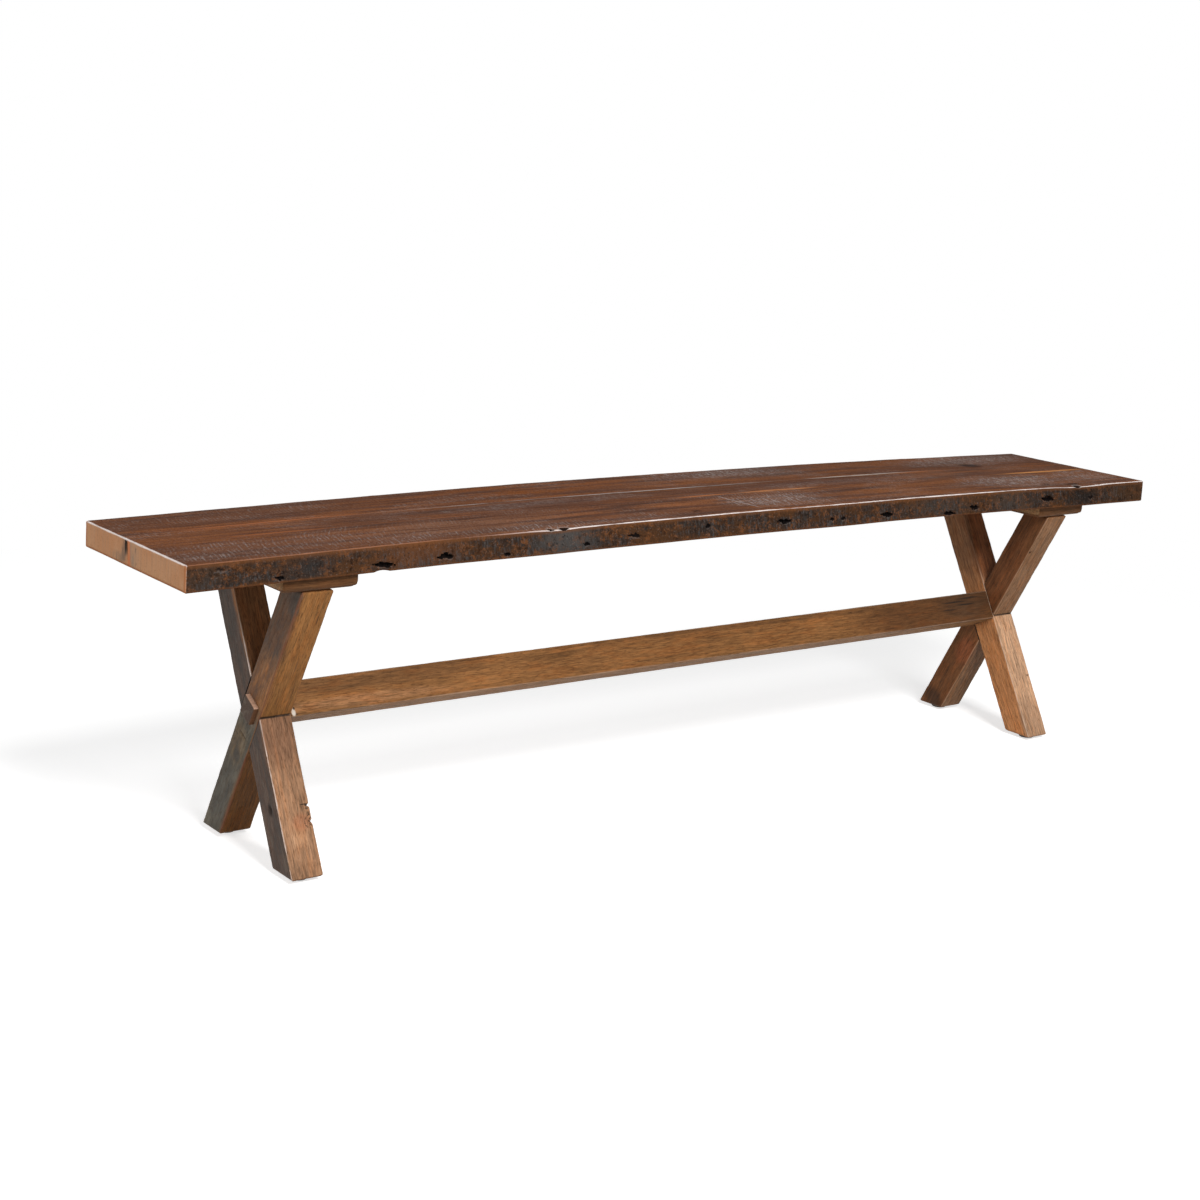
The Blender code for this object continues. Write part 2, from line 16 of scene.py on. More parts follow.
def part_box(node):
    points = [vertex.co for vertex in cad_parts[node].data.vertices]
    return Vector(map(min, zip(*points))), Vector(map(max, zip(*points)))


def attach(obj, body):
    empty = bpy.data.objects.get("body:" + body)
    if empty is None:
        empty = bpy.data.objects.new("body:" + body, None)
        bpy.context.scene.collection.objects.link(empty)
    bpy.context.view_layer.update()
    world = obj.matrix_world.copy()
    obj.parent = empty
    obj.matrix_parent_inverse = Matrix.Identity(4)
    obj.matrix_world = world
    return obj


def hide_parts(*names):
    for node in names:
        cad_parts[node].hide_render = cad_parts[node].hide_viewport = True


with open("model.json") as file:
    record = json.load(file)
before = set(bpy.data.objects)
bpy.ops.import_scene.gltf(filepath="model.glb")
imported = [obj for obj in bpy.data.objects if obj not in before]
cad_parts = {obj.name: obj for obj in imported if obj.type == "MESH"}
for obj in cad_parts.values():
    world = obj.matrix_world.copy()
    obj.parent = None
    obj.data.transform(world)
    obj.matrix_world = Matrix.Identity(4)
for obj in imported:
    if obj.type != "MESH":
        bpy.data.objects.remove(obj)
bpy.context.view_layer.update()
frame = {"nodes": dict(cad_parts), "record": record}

bl_info = {
    "name": "Rustic Bench",
    "version": (1, 0, 0),
    "blender": (4, 5, 0),
    "location": "View3D > Sidebar > Bench",
    "description": "Builds a rustic bench of worn sawn boards on crossed oak legs",
    "category": "Add Mesh",
}

# Sides of the bench in X, and the way in Y that each leg leans towards its top
SIDES = {"left": -1, "right": 1}
LEGS = {"inner": 1, "outer": -1}


def node_size(node):
    """Width, depth and height of a CAD node."""
    low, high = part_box(node)
    return Vector(high) - Vector(low)


# Seat, as the frame has it
SEAT_LENGTH = node_size("middle_board").x
SEAT_THICKNESS = 0.036
SEAT_CROWN = node_size("middle_board").z - SEAT_THICKNESS
SEAT_END_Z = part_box("middle_board")[0][2]
REAR_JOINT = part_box("back_board")[0][1]
FRONT_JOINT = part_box("front_board")[1][1]
HALF_SEAT = 0.1513
BACK_EDGE_SWELL = 0.017
FRONT_EDGE_WANDER = 0.003
BACK_EDGE_SHARES = (0.15, 0.34, 0.58, 0.82, 1.0, 1.0, 0.97, 1.0, 0.85, 0.55, 0.36)
FRONT_EDGE_SHARES = (0.0, -0.5, -0.9, 0.3, 0.0, -0.3, 0.6, -0.6, -0.2, 1.0, 0.0)

# Legs and stretcher, as the frame has them
LEG_SIDE = 0.048
HALF_LEG = LEG_SIDE / 2
LEG_FOOT_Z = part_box("left_inner_leg")[0][2]
LEG_TOP_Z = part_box("left_inner_leg")[1][2]
LEG_HEIGHT = LEG_TOP_Z - LEG_FOOT_Z
TRESTLE_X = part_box("right_inner_leg")[1][0] - HALF_LEG
TRESTLE_SPAN = 0.264
CROSSING_Z = (LEG_FOOT_Z + LEG_TOP_Z) / 2
LEAN = (
    math.acos(LEG_SIDE / math.hypot(TRESTLE_SPAN, LEG_HEIGHT))
    - math.atan2(LEG_HEIGHT, TRESTLE_SPAN)
)
STRETCHER_RISE = 0.007
STRETCHER_DEPTH = 0.05
STRETCHER_ARRIS = 0.0014
AXIS_Z = CROSSING_Z + STRETCHER_RISE
AXIS_OFFSET_Y = STRETCHER_RISE * math.tan(LEAN)
PLUG_SIDE = 0.03
PLUG_SEAT = 0.008
PLUG_PROUD = 0.007
PLUG_EASING = 0.0014
TENON_SIDE = 0.026
TENON_LENGTH = 0.012
CLEAT_THICKNESS = 0.019
CLEAT_CORNER = 0.004
CLEAT_ROUNDOVER = 0.009
CLEAT_TOP_EASING = 0.001
CLEAT_HALF_WIDTH = 0.0565
CLEAT_HALF_LENGTH = 0.138
FIT_GAP = 0.0003
CUT_OVERRUN = 0.004

# Where the lines of a grid lie inside an eased edge, as shares of its radius
EASE_SHARES = (0.0, 0.14, 0.45, 1.0)

# Faces that meet at more than this angle keep their sharp edge
SHARP_ANGLE = math.radians(40.0)

# Knots and nail slits in the front edge: place along X, share of the height, length, height, depth
FRONT_MARKS = (
    (-0.868, 0.72, 0.03, 0.006, 0.0008),
    (-0.783, 0.19, 0.018, 0.007, 0.0035),
    (-0.63, 0.26, 0.042, 0.0085, 0.006),
    (-0.536, 0.34, 0.032, 0.009, 0.006),
    (-0.436, 0.2, 0.016, 0.007, 0.0036),
    (-0.303, 0.28, 0.015, 0.007, 0.0036),
    (-0.218, 0.43, 0.034, 0.007, 0.002),
    (-0.081, 0.51, 0.011, 0.008, 0.0032),
    (0.07, 0.45, 0.036, 0.0085, 0.006),
    (0.168, 0.36, 0.013, 0.007, 0.0026),
    (0.19, 0.37, 0.012, 0.007, 0.0026),
    (0.288, 0.33, 0.034, 0.009, 0.006),
    (0.43, 0.14, 0.038, 0.0085, 0.0055),
    (0.487, 0.32, 0.028, 0.0095, 0.005),
    (0.664, 0.45, 0.036, 0.0115, 0.006),
    (0.773, 0.39, 0.02, 0.007, 0.0016),
)

# The same along the back edge
BACK_MARKS = (
    (-0.712, 0.36, 0.03, 0.009, 0.005),
    (-0.455, 0.55, 0.014, 0.008, 0.0035),
    (-0.18, 0.3, 0.034, 0.01, 0.006),
    (0.105, 0.62, 0.018, 0.008, 0.003),
    (0.342, 0.4, 0.032, 0.01, 0.0055),
    (0.61, 0.28, 0.024, 0.009, 0.0045),
    (0.815, 0.58, 0.012, 0.007, 0.003),
)

# Marks of each free edge, by its side in Y
EDGE_MARKS = {-1: FRONT_MARKS, 1: BACK_MARKS}

# Chips beside the front arris: place along X, length and depth
ARRIS_CHIPS = ((-0.364, 0.011, 0.0036), (-0.342, 0.015, 0.0038), (0.74, 0.015, 0.0034))
CHIP_INSET = 0.0032

# Dips worn into the front arris: place along X, half length and depth
ARRIS_DIPS = ((-0.352, 0.04, 0.002), (0.744, 0.085, 0.0036))
DIP_REACH = 0.016

# Nick in the front edge's lower arris: place along X, half length, height and depth
NICK_X, NICK_HALF, NICK_RISE, NICK_DEPTH = -0.632, 0.014, 0.005, 0.0024

# How far in the roughness of a free edge and of an end reaches, and the waves of the faces
EDGE_SKIN, END_SKIN, FACE_WAVE = 0.004, 0.002, 0.00022

# How far in pits and chips are coloured, the depth at which a pit's painted shade is full,
# and how far below a pit the painted highlight on its lit lower rim lies
PIT_REACH, CHIP_REACH, SHADED_DEPTH, LIT_RIM_RISE = 0.009, 0.02, 0.004, 0.003

# Crack at the heart of the middle board, in its left end: y at the top, lean, half width,
# how far it runs in and how far its foot stays over the underside
CRACK_Y, CRACK_LEAN, CRACK_HALF = 0.0206, 0.08, 0.0012
CRACK_REACH, CRACK_FLOOR = 0.007, 0.008


def length_setting(name, description, default, low, high):
    """Length that a user may change."""
    return FloatProperty(
        name=name, description=description, default=default, min=low, max=high,
        unit="LENGTH", precision=4,
    )


def share_setting(name, description, default, high):
    """Plain factor that a user may change."""
    return FloatProperty(
        name=name, description=description, default=default, min=0.0, max=high, subtype="FACTOR",
    )


def power_setting(name, description, default):
    """Power of a light that a user may change."""
    return FloatProperty(
        name=name, description=description, default=default, min=0.0, unit="POWER",
    )


def colour_setting(name, description, default):
    """Colour that a user may change."""
    return FloatVectorProperty(
        name=name, description=description, default=default, size=3, min=0.0, max=1.0,
        subtype="COLOR",
    )


class SeatLook(bpy.types.PropertyGroup):
    """Sizes and colours of the three seat boards."""

    arris: length_setting("Arris", "Radius of the worn long edges", 0.0026, 0.001, 0.005)
    corner: length_setting("Corner", "Radius of the upright corners", 0.0022, 0.001, 0.012)
    seam: length_setting("Seam", "Easing along the glued seams", 0.0005, 0.0002, 0.002)
    saw_pitch: length_setting("Saw marks", "Distance between saw marks", 0.006, 0.002, 0.02)
    stain: colour_setting("Stain", "Red-brown stain of the top", (0.126, 0.049, 0.024))
    dark_stain: colour_setting("Dark stain", "Stain where it took darkest", (0.046, 0.02, 0.013))
    warm_stain: colour_setting("Warm stain", "Orange streaks of the top", (0.23, 0.082, 0.03))
    # Saw mark: partly saw dust left in the marks, partly painted glints on their ridges; it also
    # paints the highlight on the lower rims of the pits
    mark: colour_setting("Saw mark", "Whitish grey left in the saw marks", (0.37, 0.32, 0.3))
    # Worn arris: partly worn wood, partly a painted highlight along the rounded arrises
    worn: colour_setting("Worn arris", "Pale line along the arrises", (0.74, 0.66, 0.63))
    arris_brown: colour_setting("Brown arris", "Rubbed stain on arrises", (0.33, 0.145, 0.078))
    edge: colour_setting("Edge", "Rusty brown of the sawn edges", (0.06, 0.027, 0.012))
    edge_rust: colour_setting("Edge rust", "Orange patches of the edges", (0.15, 0.056, 0.02))
    edge_dark: colour_setting("Dark edge", "Blackish brown of the edges", (0.026, 0.018, 0.014))
    edge_grey: colour_setting("Edge grey", "Blue-grey saw lines of edges", (0.062, 0.06, 0.06))
    end: colour_setting("End grain", "Tan of the sawn ends", (0.46, 0.245, 0.132))
    # Pits: dark knot wood and dark streaks, and painted shade inside the slits, chips and heart
    # crack
    pit: colour_setting("Pits", "Inside of knots and nail slits", (0.0045, 0.0035, 0.0035))


class TrestleLook(bpy.types.PropertyGroup):
    """Sizes and colours of the legs, stretcher, cleats and plugs."""

    arris: length_setting("Arris", "Radius of the worn arrises", 0.0022, 0.001, 0.004)
    foot: length_setting("Foot easing", "Radius round the feet and leg tops", 0.006, 0.001, 0.009)
    ring_pitch: length_setting("Ring pitch", "Distance between year rings", 0.0075, 0.001, 0.02)
    oak: colour_setting("Oak", "Mid tone of the oiled oak", (0.26, 0.12, 0.048))
    dark: colour_setting("Dark grain", "Pores and late wood", (0.06, 0.026, 0.011))
    weathered: colour_setting("Weathered", "Grey-brown outer faces", (0.165, 0.135, 0.1))
    worn: colour_setting("Worn arris", "Pale worn arrises", (0.56, 0.4, 0.29))
    plug: colour_setting("Plug", "Dark end grain of the plugs", (0.078, 0.054, 0.042))


class FittingLook(bpy.types.PropertyGroup):
    """Colours of the metal and nylon."""

    zinc: colour_setting("Zinc", "Zinc plate on screws, bolts and nails", (0.62, 0.62, 0.6))
    nylon: colour_setting("Nylon", "Dark brown nylon of the glides", (0.03, 0.019, 0.013))


class StageLook(bpy.types.PropertyGroup):
    """Light and floor round the bench."""

    key: power_setting("Key light", "Power of the main light", 180.0)
    fill: power_setting("Fill light", "Power of the side light", 60.0)
    sky: share_setting("Sky", "Strength of the light from all round", 0.16, 2.0)
    floor: colour_setting("Floor", "Plain pale floor", (0.8, 0.8, 0.8))


# Materials


def sum_node(operation, swapped=False):
    """Operator of a field that adds a Math node."""

    def work_out(field, other=0.0):
        pair = (other, field) if swapped else (field, other)
        return field.paint.node("ShaderNodeMath", {"operation": operation}, dict(enumerate(pair)))

    return work_out


class Field:
    """One output of a material's nodes. Python's operators on it add Math nodes."""

    def __init__(self, paint, socket):
        self.paint = paint
        self.socket = socket

    __add__, __radd__ = sum_node("ADD"), sum_node("ADD", True)
    __sub__, __rsub__ = sum_node("SUBTRACT"), sum_node("SUBTRACT", True)
    __mul__, __rmul__ = sum_node("MULTIPLY"), sum_node("MULTIPLY", True)
    __truediv__, __mod__ = sum_node("DIVIDE"), sum_node("FLOORED_MODULO")
    __abs__, root, wave = sum_node("ABSOLUTE"), sum_node("SQRT"), sum_node("SINE")
    larger, smaller = sum_node("MAXIMUM"), sum_node("MINIMUM")

    def output(self, key):
        """Another output of the same node."""
        return Field(self.paint, self.socket.node.outputs[key])

    def parts(self):
        """The three numbers of a vector."""
        first = self.paint.node("ShaderNodeSeparateXYZ", sockets={0: self})
        return first, first.output(1), first.output(2)

    def vector_sum(self, operation, *others):
        """Add a Vector Math node."""
        sockets = dict(enumerate((self, *others)))
        return self.paint.node("ShaderNodeVectorMath", {"operation": operation}, sockets)

    def length(self):
        """Length of a vector."""
        return self.vector_sum("LENGTH").output("Value")

    def scaled(self, amount):
        """Vector or colour times a number."""
        sockets = {0: self, "Scale": amount}
        return self.paint.node("ShaderNodeVectorMath", {"operation": "SCALE"}, sockets)

    def ease(self, low, high):
        """Smooth step from 0 at low to 1 at high, or the other way round."""
        settings = {"interpolation_type": "SMOOTHSTEP"}
        return self.paint.node("ShaderNodeMapRange", settings, {0: self, 1: low, 2: high})

    def cloud(self, scale, detail=2, roughness=0.5):
        """Noise stretched to a scale along each axis."""
        return self.paint.node("ShaderNodeTexNoise", sockets={
            "Vector": self.vector_sum("MULTIPLY", scale), "Scale": 1.0, "Detail": detail,
            "Roughness": roughness,
        })

    def stirred(self, scale, reach):
        """Places pushed about by a noise, by up to half of a reach."""
        shake = self.paint.node("ShaderNodeTexNoise", sockets={
            "Vector": self, "Scale": scale, "Detail": 3.0,
        }, output="Color")
        return self.vector_sum(
            "ADD", shake.vector_sum("MULTIPLY_ADD", (reach,) * 3, (-reach / 2,) * 3))

    def mapped(self, **sockets):
        """Places in the directions or sizes of something else."""
        return self.paint.node(
            "ShaderNodeMapping", {"vector_type": "TEXTURE"}, {"Vector": self, **sockets})

    def spot(self, centre, radii, soft):
        """Soft-edged ellipsoid: 1 in its middle, 0 past its rim."""
        return self.mapped(Location=centre, Scale=radii).length().ease(1.0, 1.0 - soft)


class Paint:
    """Node tree of a material or of the world, written as expressions."""

    def __init__(self, tree):
        self.tree = tree

    def feed(self, node, sockets):
        """Set each socket of a node to a value, or link a field to it."""
        for key, value in sockets.items():
            target = node.inputs[key]
            if isinstance(value, Field):
                self.tree.links.new(value.socket, target)
            else:
                target.default_value = (*value, 1.0) if target.type == "RGBA" else value

    def node(self, kind, settings=None, sockets=None, output=0):
        """Add a node: its type, its settings, then the values or links of its sockets."""
        made = self.tree.nodes.new(kind)
        for key, value in (settings or {}).items():
            setattr(made, key, value)
        self.feed(made, sockets or {})
        return Field(self, made.outputs[output])

    def place(self):
        """Object coordinates."""
        return self.node("ShaderNodeTexCoord", output="Object")

    def attribute(self, name):
        """Vector that the mesh carries."""
        return self.node("ShaderNodeAttribute", {"attribute_name": name}, output="Vector")

    def vector(self, x, y, z):
        """Vector of three numbers."""
        return self.node("ShaderNodeCombineXYZ", sockets={0: x, 1: y, 2: z})

    def mix(self, factor, first, second, way="MIX"):
        """Mix of two colours."""
        settings = {"data_type": "RGBA", "blend_type": way}
        return self.node("ShaderNodeMix", settings, {0: factor, 6: first, 7: second}, 2)

    def bump(self, height, distance, strength):
        """Normal that a height gives, in metres."""
        return self.node("ShaderNodeBump", sockets={
            "Strength": strength, "Distance": distance, "Height": height,
        })


class Coat:
    """Colour that is laid on in layers."""

    def __init__(self, paint, colour):
        self.paint = paint
        self.colour = colour

    def lay(self, share, tint, way="MIX"):
        """Lay a share of a tint over the colour."""
        self.colour = self.paint.mix(share, self.colour, tint, way)


def new_finish(name):
    """New material, its paint and its shader."""
    material = bpy.data.materials.new(name)
    material.use_nodes = True
    return material, Paint(material.node_tree), material.node_tree.nodes["Principled BSDF"]


# Shapes


def crown_at(x):
    """Rise of the bowed seat over its ends, at x along it."""
    return SEAT_CROWN * (1 - (2 * x / SEAT_LENGTH) ** 2)


def share_at(shares, along):
    """Value of evenly spaced shares at 0 to 1 along them, eased from one to the next."""
    place = min(max(along, 0.0), 1.0) * (len(shares) - 1)
    first = min(int(place), len(shares) - 2)
    blend = (1 - math.cos((place - first) * math.pi)) / 2
    return shares[first] * (1 - blend) + shares[first + 1] * blend


def edge_at(x, side):
    """Y at x of the seat's front edge, for side -1, or of its back edge, for side 1."""
    shares, reach = {
        -1: (FRONT_EDGE_SHARES, FRONT_EDGE_WANDER), 1: (BACK_EDGE_SHARES, BACK_EDGE_SWELL),
    }[side]
    return side * (HALF_SEAT + reach * share_at(shares, x / SEAT_LENGTH + 1 / 2))


def smooth_step(value, low, high):
    """0 below low, 1 above high, smooth between them."""
    share = min(max((value - low) / (high - low), 0.0), 1.0)
    return share * share * (3 - 2 * share)


def ripple(*scaled):
    """Smooth noise between -1 and 1 at a scaled place."""
    return noise.noise(Vector(scaled))


def ease_pair(first, second, radius):
    """Round off a square edge, given the distances in from its two faces."""
    a = radius - first
    b = radius - second
    if a <= 0 or b <= 0:
        return first, second
    reach = max(a, b) / math.hypot(a, b)
    return radius - a * reach, radius - b * reach


def grid_lines(low, high, count, low_ease, high_ease):
    """Places of a grid's lines across one side, closer together in its eased edges."""
    start = [low + low_ease * share for share in EASE_SHARES]
    end = [high - high_ease * share for share in reversed(EASE_SHARES)]
    spans = count - 2 * (len(EASE_SHARES) - 1)
    step = (end[0] - start[-1]) / spans
    return start + [start[-1] + step * number for number in range(1, spans)] + end


def placed(place, angle):
    """Turn about X by an angle, then a move to a place."""
    return Matrix.Translation(place) @ Matrix.Rotation(angle, 4, "X")


def deselect_all():
    """Leave no object selected."""
    bpy.ops.object.select_all(action="DESELECT")


def only(piece):
    """Select one object alone and make it the active one."""
    deselect_all()
    piece.select_set(True)
    bpy.context.view_layer.objects.active = piece


def add_box(name, low, high):
    """Box between two corners, its place in its mesh."""
    deselect_all()
    low, high = Vector(low), Vector(high)
    bpy.ops.mesh.primitive_cube_add(size=1, location=(low + high) / 2, scale=high - low)
    piece = bpy.context.object
    piece.name = piece.data.name = name
    bpy.ops.object.transform_apply(location=True, rotation=True, scale=True)
    return piece


def divide(piece, axis, cuts):
    """Divide the edges that run along one axis (0 for X, 1 for Y, 2 for Z), in edit mode."""
    bpy.ops.mesh.select_mode(type="EDGE")
    bpy.ops.mesh.select_all(action="DESELECT")
    shape = bmesh.from_edit_mesh(piece.data)
    for edge in shape.edges:
        step = edge.verts[1].co - edge.verts[0].co
        if abs(step[axis]) > step.length * 0.9:
            edge.select_set(True)
    bmesh.update_edit_mesh(piece.data)
    bpy.ops.mesh.subdivide(number_cuts=cuts)


def move_points(piece, place):
    """Move each vertex of a piece to place(point)."""
    for vertex in piece.data.vertices:
        vertex.co = place(vertex.co.copy())
    piece.data.update()


def grid_box(name, low, high, eases, cuts):
    """Box between two corners, divided into a grid with closer lines in its eased edges.

    For each axis, eases holds the two radii and cuts the factors of the number of spans.
    """
    piece = add_box(name, low, high)
    bpy.ops.object.mode_set(mode="EDIT")
    for axis, factors in enumerate(cuts):
        for factor in factors:
            divide(piece, axis, factor - 1)
    bpy.ops.object.mode_set(mode="OBJECT")
    spans = [math.prod(factors) for factors in cuts]
    lines = [grid_lines(low[i], high[i], spans[i], *eases[i]) for i in range(3)]

    def on_line(point):
        shares = [(point[i] - low[i]) / (high[i] - low[i]) * spans[i] for i in range(3)]
        return [lines[i][round(shares[i])] for i in range(3)]

    move_points(piece, on_line)
    return piece


def combine(piece, tool, operation="DIFFERENCE", solver="FAST"):
    """Cut a tool out of a piece or join it on, and delete the tool."""
    step = piece.modifiers.new("Step", "BOOLEAN")
    step.operation = operation
    step.solver = solver
    step.object = tool
    only(piece)
    bpy.ops.object.modifier_apply(modifier=step.name)
    bpy.data.objects.remove(tool, do_unlink=True)


def stand_in(piece, node, material):
    """Shade a finished piece, give it its material and put it in place of a CAD node."""
    only(piece)
    bpy.ops.object.shade_smooth_by_angle(angle=SHARP_ANGLE)
    piece.data.materials.clear()
    piece.data.materials.append(material)
    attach(piece, "root")
    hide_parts(node)


# Seat boards


def lens_mark(x, height, mark):
    """Share of a ragged slit's depth at a place on a board's edge, 1 in its middle."""
    along, share, length, rise, _ = mark
    run = 2 * (x - along) / length
    if abs(run) >= 1.1:
        return 0.0
    rough = 0.9 + 0.45 * ripple(x * 210, 1.0, along * 40)
    rough += 0.6 * ripple(x * 520, height * 420, along * 40)
    middle = share * SEAT_THICKNESS - 0.06 * (x - along)
    middle += rise * 0.25 * ripple(x * 120, 9.0, along * 70)
    lift = (height - middle) * 2 / rise
    return smooth_step((1.0 - abs(run) ** 1.3) * rough - abs(lift), 0.0, 0.45)


def chip_depth(x, inwards, down, chip):
    """How far a chip beside the front arris cuts in along its slope at a place on the board."""
    along, length, depth = chip
    run = 2 * (x - along) / length
    if abs(run) >= 1:
        return 0.0
    deep = depth * math.sqrt(1 - run * run) * (1 + 0.3 * ripple(x * 260, 3.0, along))
    across = (inwards - down - CHIP_INSET) / math.sqrt(2)
    level = (inwards + down - CHIP_INSET) / math.sqrt(2)
    if abs(across) >= deep:
        return 0.0
    return max(0.0, math.sqrt(deep * deep - across * across) - max(level, 0.0))


def arris_dip(x, inwards, down):
    """How far the front arris is worn down and in at a place on the board."""
    near = smooth_step(1 - max(inwards, down) / DIP_REACH, 0.0, 0.8)
    worn = 0.0
    for along, half, depth in ARRIS_DIPS:
        worn = max(worn, depth * (1 - smooth_step(abs(x - along) / half, 0.0, 1.0)))
    return near * worn


@dataclass
class Board:
    """Shape of one seat board: where each point of its plain box comes to lie.

    free names its free long edge: -1 for the front one, 1 for the back one, 0 for none.
    """

    look: SeatLook
    low_y: float
    high_y: float
    free: int

    def inwards(self, y):
        """Distance in from the free edge."""
        return y - self.low_y if self.free < 0 else self.high_y - y

    def swung(self, x, y, back=False):
        """Y of a point once its free edge follows the seat's edge in plan, or back again."""
        if not self.free:
            return y
        fixed, plain = (self.high_y, self.low_y) if self.free < 0 else (self.low_y, self.high_y)
        bowed = edge_at(x, self.free)
        if back:
            plain, bowed = bowed, plain
        return fixed + (y - fixed) * (bowed - fixed) / (plain - fixed)

    def ease_ends_and_sides(self, x, y, up):
        """Round off the arrises and corners of the plain box."""
        look = self.look
        wear = 1 + 0.45 * ripple(x * 22, y * 40, 1.7) + 0.25 * ripple(x * 90, y * 90, 5.1)
        end, down = ease_pair(SEAT_LENGTH / 2 - abs(x), SEAT_THICKNESS - up, look.arris * wear)
        end, up = ease_pair(end, SEAT_THICKNESS - down, look.arris * 0.8)
        inner = {-1: y - self.low_y, 1: self.high_y - y}
        for side in (-1, 1):
            free = side == self.free
            radius = look.arris if free else look.seam
            down = SEAT_THICKNESS - up
            sides, down = ease_pair(inner[side], down, radius * (wear if free else 1))
            sides, up = ease_pair(sides, SEAT_THICKNESS - down, radius)
            if free:
                end, sides = ease_pair(end, sides, look.corner)
            y = self.low_y + sides if side < 0 else self.high_y - sides
            inner[-side] = (self.high_y - self.low_y) - sides
        return math.copysign(SEAT_LENGTH / 2 - end, x), y, up

    def wear_edge(self, x, y, up):
        """Saw chatter, knots, nail slits and scoops in the free edge."""
        inwards = self.inwards(y)
        down = SEAT_THICKNESS - up
        push = slope = 0.0
        if inwards < EDGE_SKIN:
            face = 1 - inwards / EDGE_SKIN
            push += face * 0.00042 * (1 + ripple(x * 105, up * 14, 2.0))
            push += face * 0.00035 * (1 + ripple(x * 30, up * 55, 8.0))
            for mark in EDGE_MARKS[self.free]:
                if abs(x - mark[0]) < mark[2]:
                    push += face * mark[4] * lens_mark(x, up, mark)
        if self.free < 0:
            for chip in ARRIS_CHIPS:
                if abs(x - chip[0]) < chip[1] / 2:
                    slope = max(slope, chip_depth(x, inwards, down, chip))
            nick = math.hypot((x - NICK_X) / NICK_HALF, (inwards + up) / NICK_RISE)
            if nick < 1:
                push += NICK_DEPTH * (1 - nick * nick)
                up += NICK_DEPTH * (1 - nick * nick)
            slope += arris_dip(x, inwards, down)
        push += slope / math.sqrt(2)
        up -= slope / math.sqrt(2)
        return y - self.free * push, up

    def place(self, point):
        """Where a point of the plain box comes to lie on the worn board."""
        x, y, z = point
        x, y, up = self.ease_ends_and_sides(x, y, z - SEAT_END_Z)
        if self.free:
            y, up = self.wear_edge(x, y, up)
        top = smooth_step(up, SEAT_THICKNESS * 0.6, SEAT_THICKNESS)
        up += (2 * top - 1) * FACE_WAVE * ripple(x * 14, y * 45, 3.3) - top * FACE_WAVE
        if SEAT_LENGTH / 2 - abs(x) < END_SKIN:
            x -= math.copysign(0.0002 * (1 + ripple(y * 160, z * 160, 6.0)), x)
        return x, self.swung(x, y), SEAT_END_Z + up + crown_at(x)


def pit_shares(board, x, inwards, up):
    """Shares at a place on a board of a pit, dark as knot wood and as painted shade that grows
    with its depth, of the painted highlight on its lower rim, and of a chip.
    """
    pit = rim = scoop = 0.0
    if board.free and inwards < PIT_REACH:
        for mark in EDGE_MARKS[board.free]:
            if abs(x - mark[0]) < mark[2]:
                depth = lens_mark(x, up, mark) * min(1.0, mark[4] / SHADED_DEPTH)
                pit = max(pit, depth)
                rim = max(rim, lens_mark(x, up + LIT_RIM_RISE, mark) * (1 - depth))
    if board.free < 0 and inwards < CHIP_REACH:
        for along, length, _ in ARRIS_CHIPS:
            off = inwards - (SEAT_THICKNESS - up) - CHIP_INSET * 1.3
            near = math.hypot(2 * (x - along) / length, off / 0.0042)
            near += 0.25 * ripple(x * 300, off * 300, 5.0)
            scoop = max(scoop, 1 - near / 1.7)
    return pit, rim, scoop


def write_places(piece, board):
    """Give each vertex its place on the unworn board and its share of any pit or chip."""
    places, pits = [], []
    for vertex in piece.data.vertices:
        x, y, z = vertex.co
        up = z - SEAT_END_Z - crown_at(x)
        y = board.swung(x, y, back=True)
        inwards = board.inwards(y)
        if board.free < 0:
            dip = arris_dip(x, inwards, SEAT_THICKNESS - up) / math.sqrt(2)
            y, inwards, up = y - dip, inwards - dip, up + dip
        places += (x, y, up)
        pits += pit_shares(board, x, inwards, up)
    for name, values in (("flat_place", places), ("pit", pits)):
        layer = piece.data.attributes.new(name, "FLOAT_VECTOR", "POINT")
        layer.data.foreach_set("vector", values)


def make_board(name, board, cuts):
    """One worn board, from a divided box."""
    look = board.look
    half = SEAT_LENGTH / 2
    eases = (
        (look.corner, look.corner),
        [look.arris if board.free == side else look.seam for side in (-1, 1)],
        (look.arris, look.arris),
    )
    piece = grid_box(
        name, (-half, board.low_y, SEAT_END_Z), (half, board.high_y, SEAT_END_Z + SEAT_THICKNESS),
        eases, cuts,
    )
    move_points(piece, board.place)
    return piece


def heart_crack():
    """Wedge that cuts the crack in the left end of the middle board."""
    end, top = -SEAT_LENGTH / 2, SEAT_END_Z + SEAT_THICKNESS
    cutter = add_box(
        "heart_crack", (end - CUT_OVERRUN, 0.0, SEAT_END_Z + CRACK_FLOOR),
        (end + CRACK_REACH, 2 * CRACK_Y, top + CUT_OVERRUN),
    )
    bpy.ops.object.mode_set(mode="EDIT")
    divide(cutter, 2, 9)
    bpy.ops.object.mode_set(mode="OBJECT")

    def bend(point):
        drop = top - point.z
        middle = CRACK_Y - CRACK_LEAN * drop + 0.001 * ripple(point.z * 180, 2.0, 7.0)
        wide = CRACK_HALF * (1 - 0.8 * smooth_step(drop, 0.012, 0.026))
        wide *= 1 + 0.5 * ripple(point.z * 240, 4.0, 1.0)
        side = 1 if point.y > CRACK_Y else -1
        return point.x, middle + side * (wide * 0.2 if point.x > end else wide), point.z

    move_points(cutter, bend)
    return cutter


# Slant and bow of the saw marks on the front, middle and back boards
SAW_SLANTS = {-1: (0.38, 0.9), 0: (-0.2, 1.2), 1: (0.12, 0.7)}
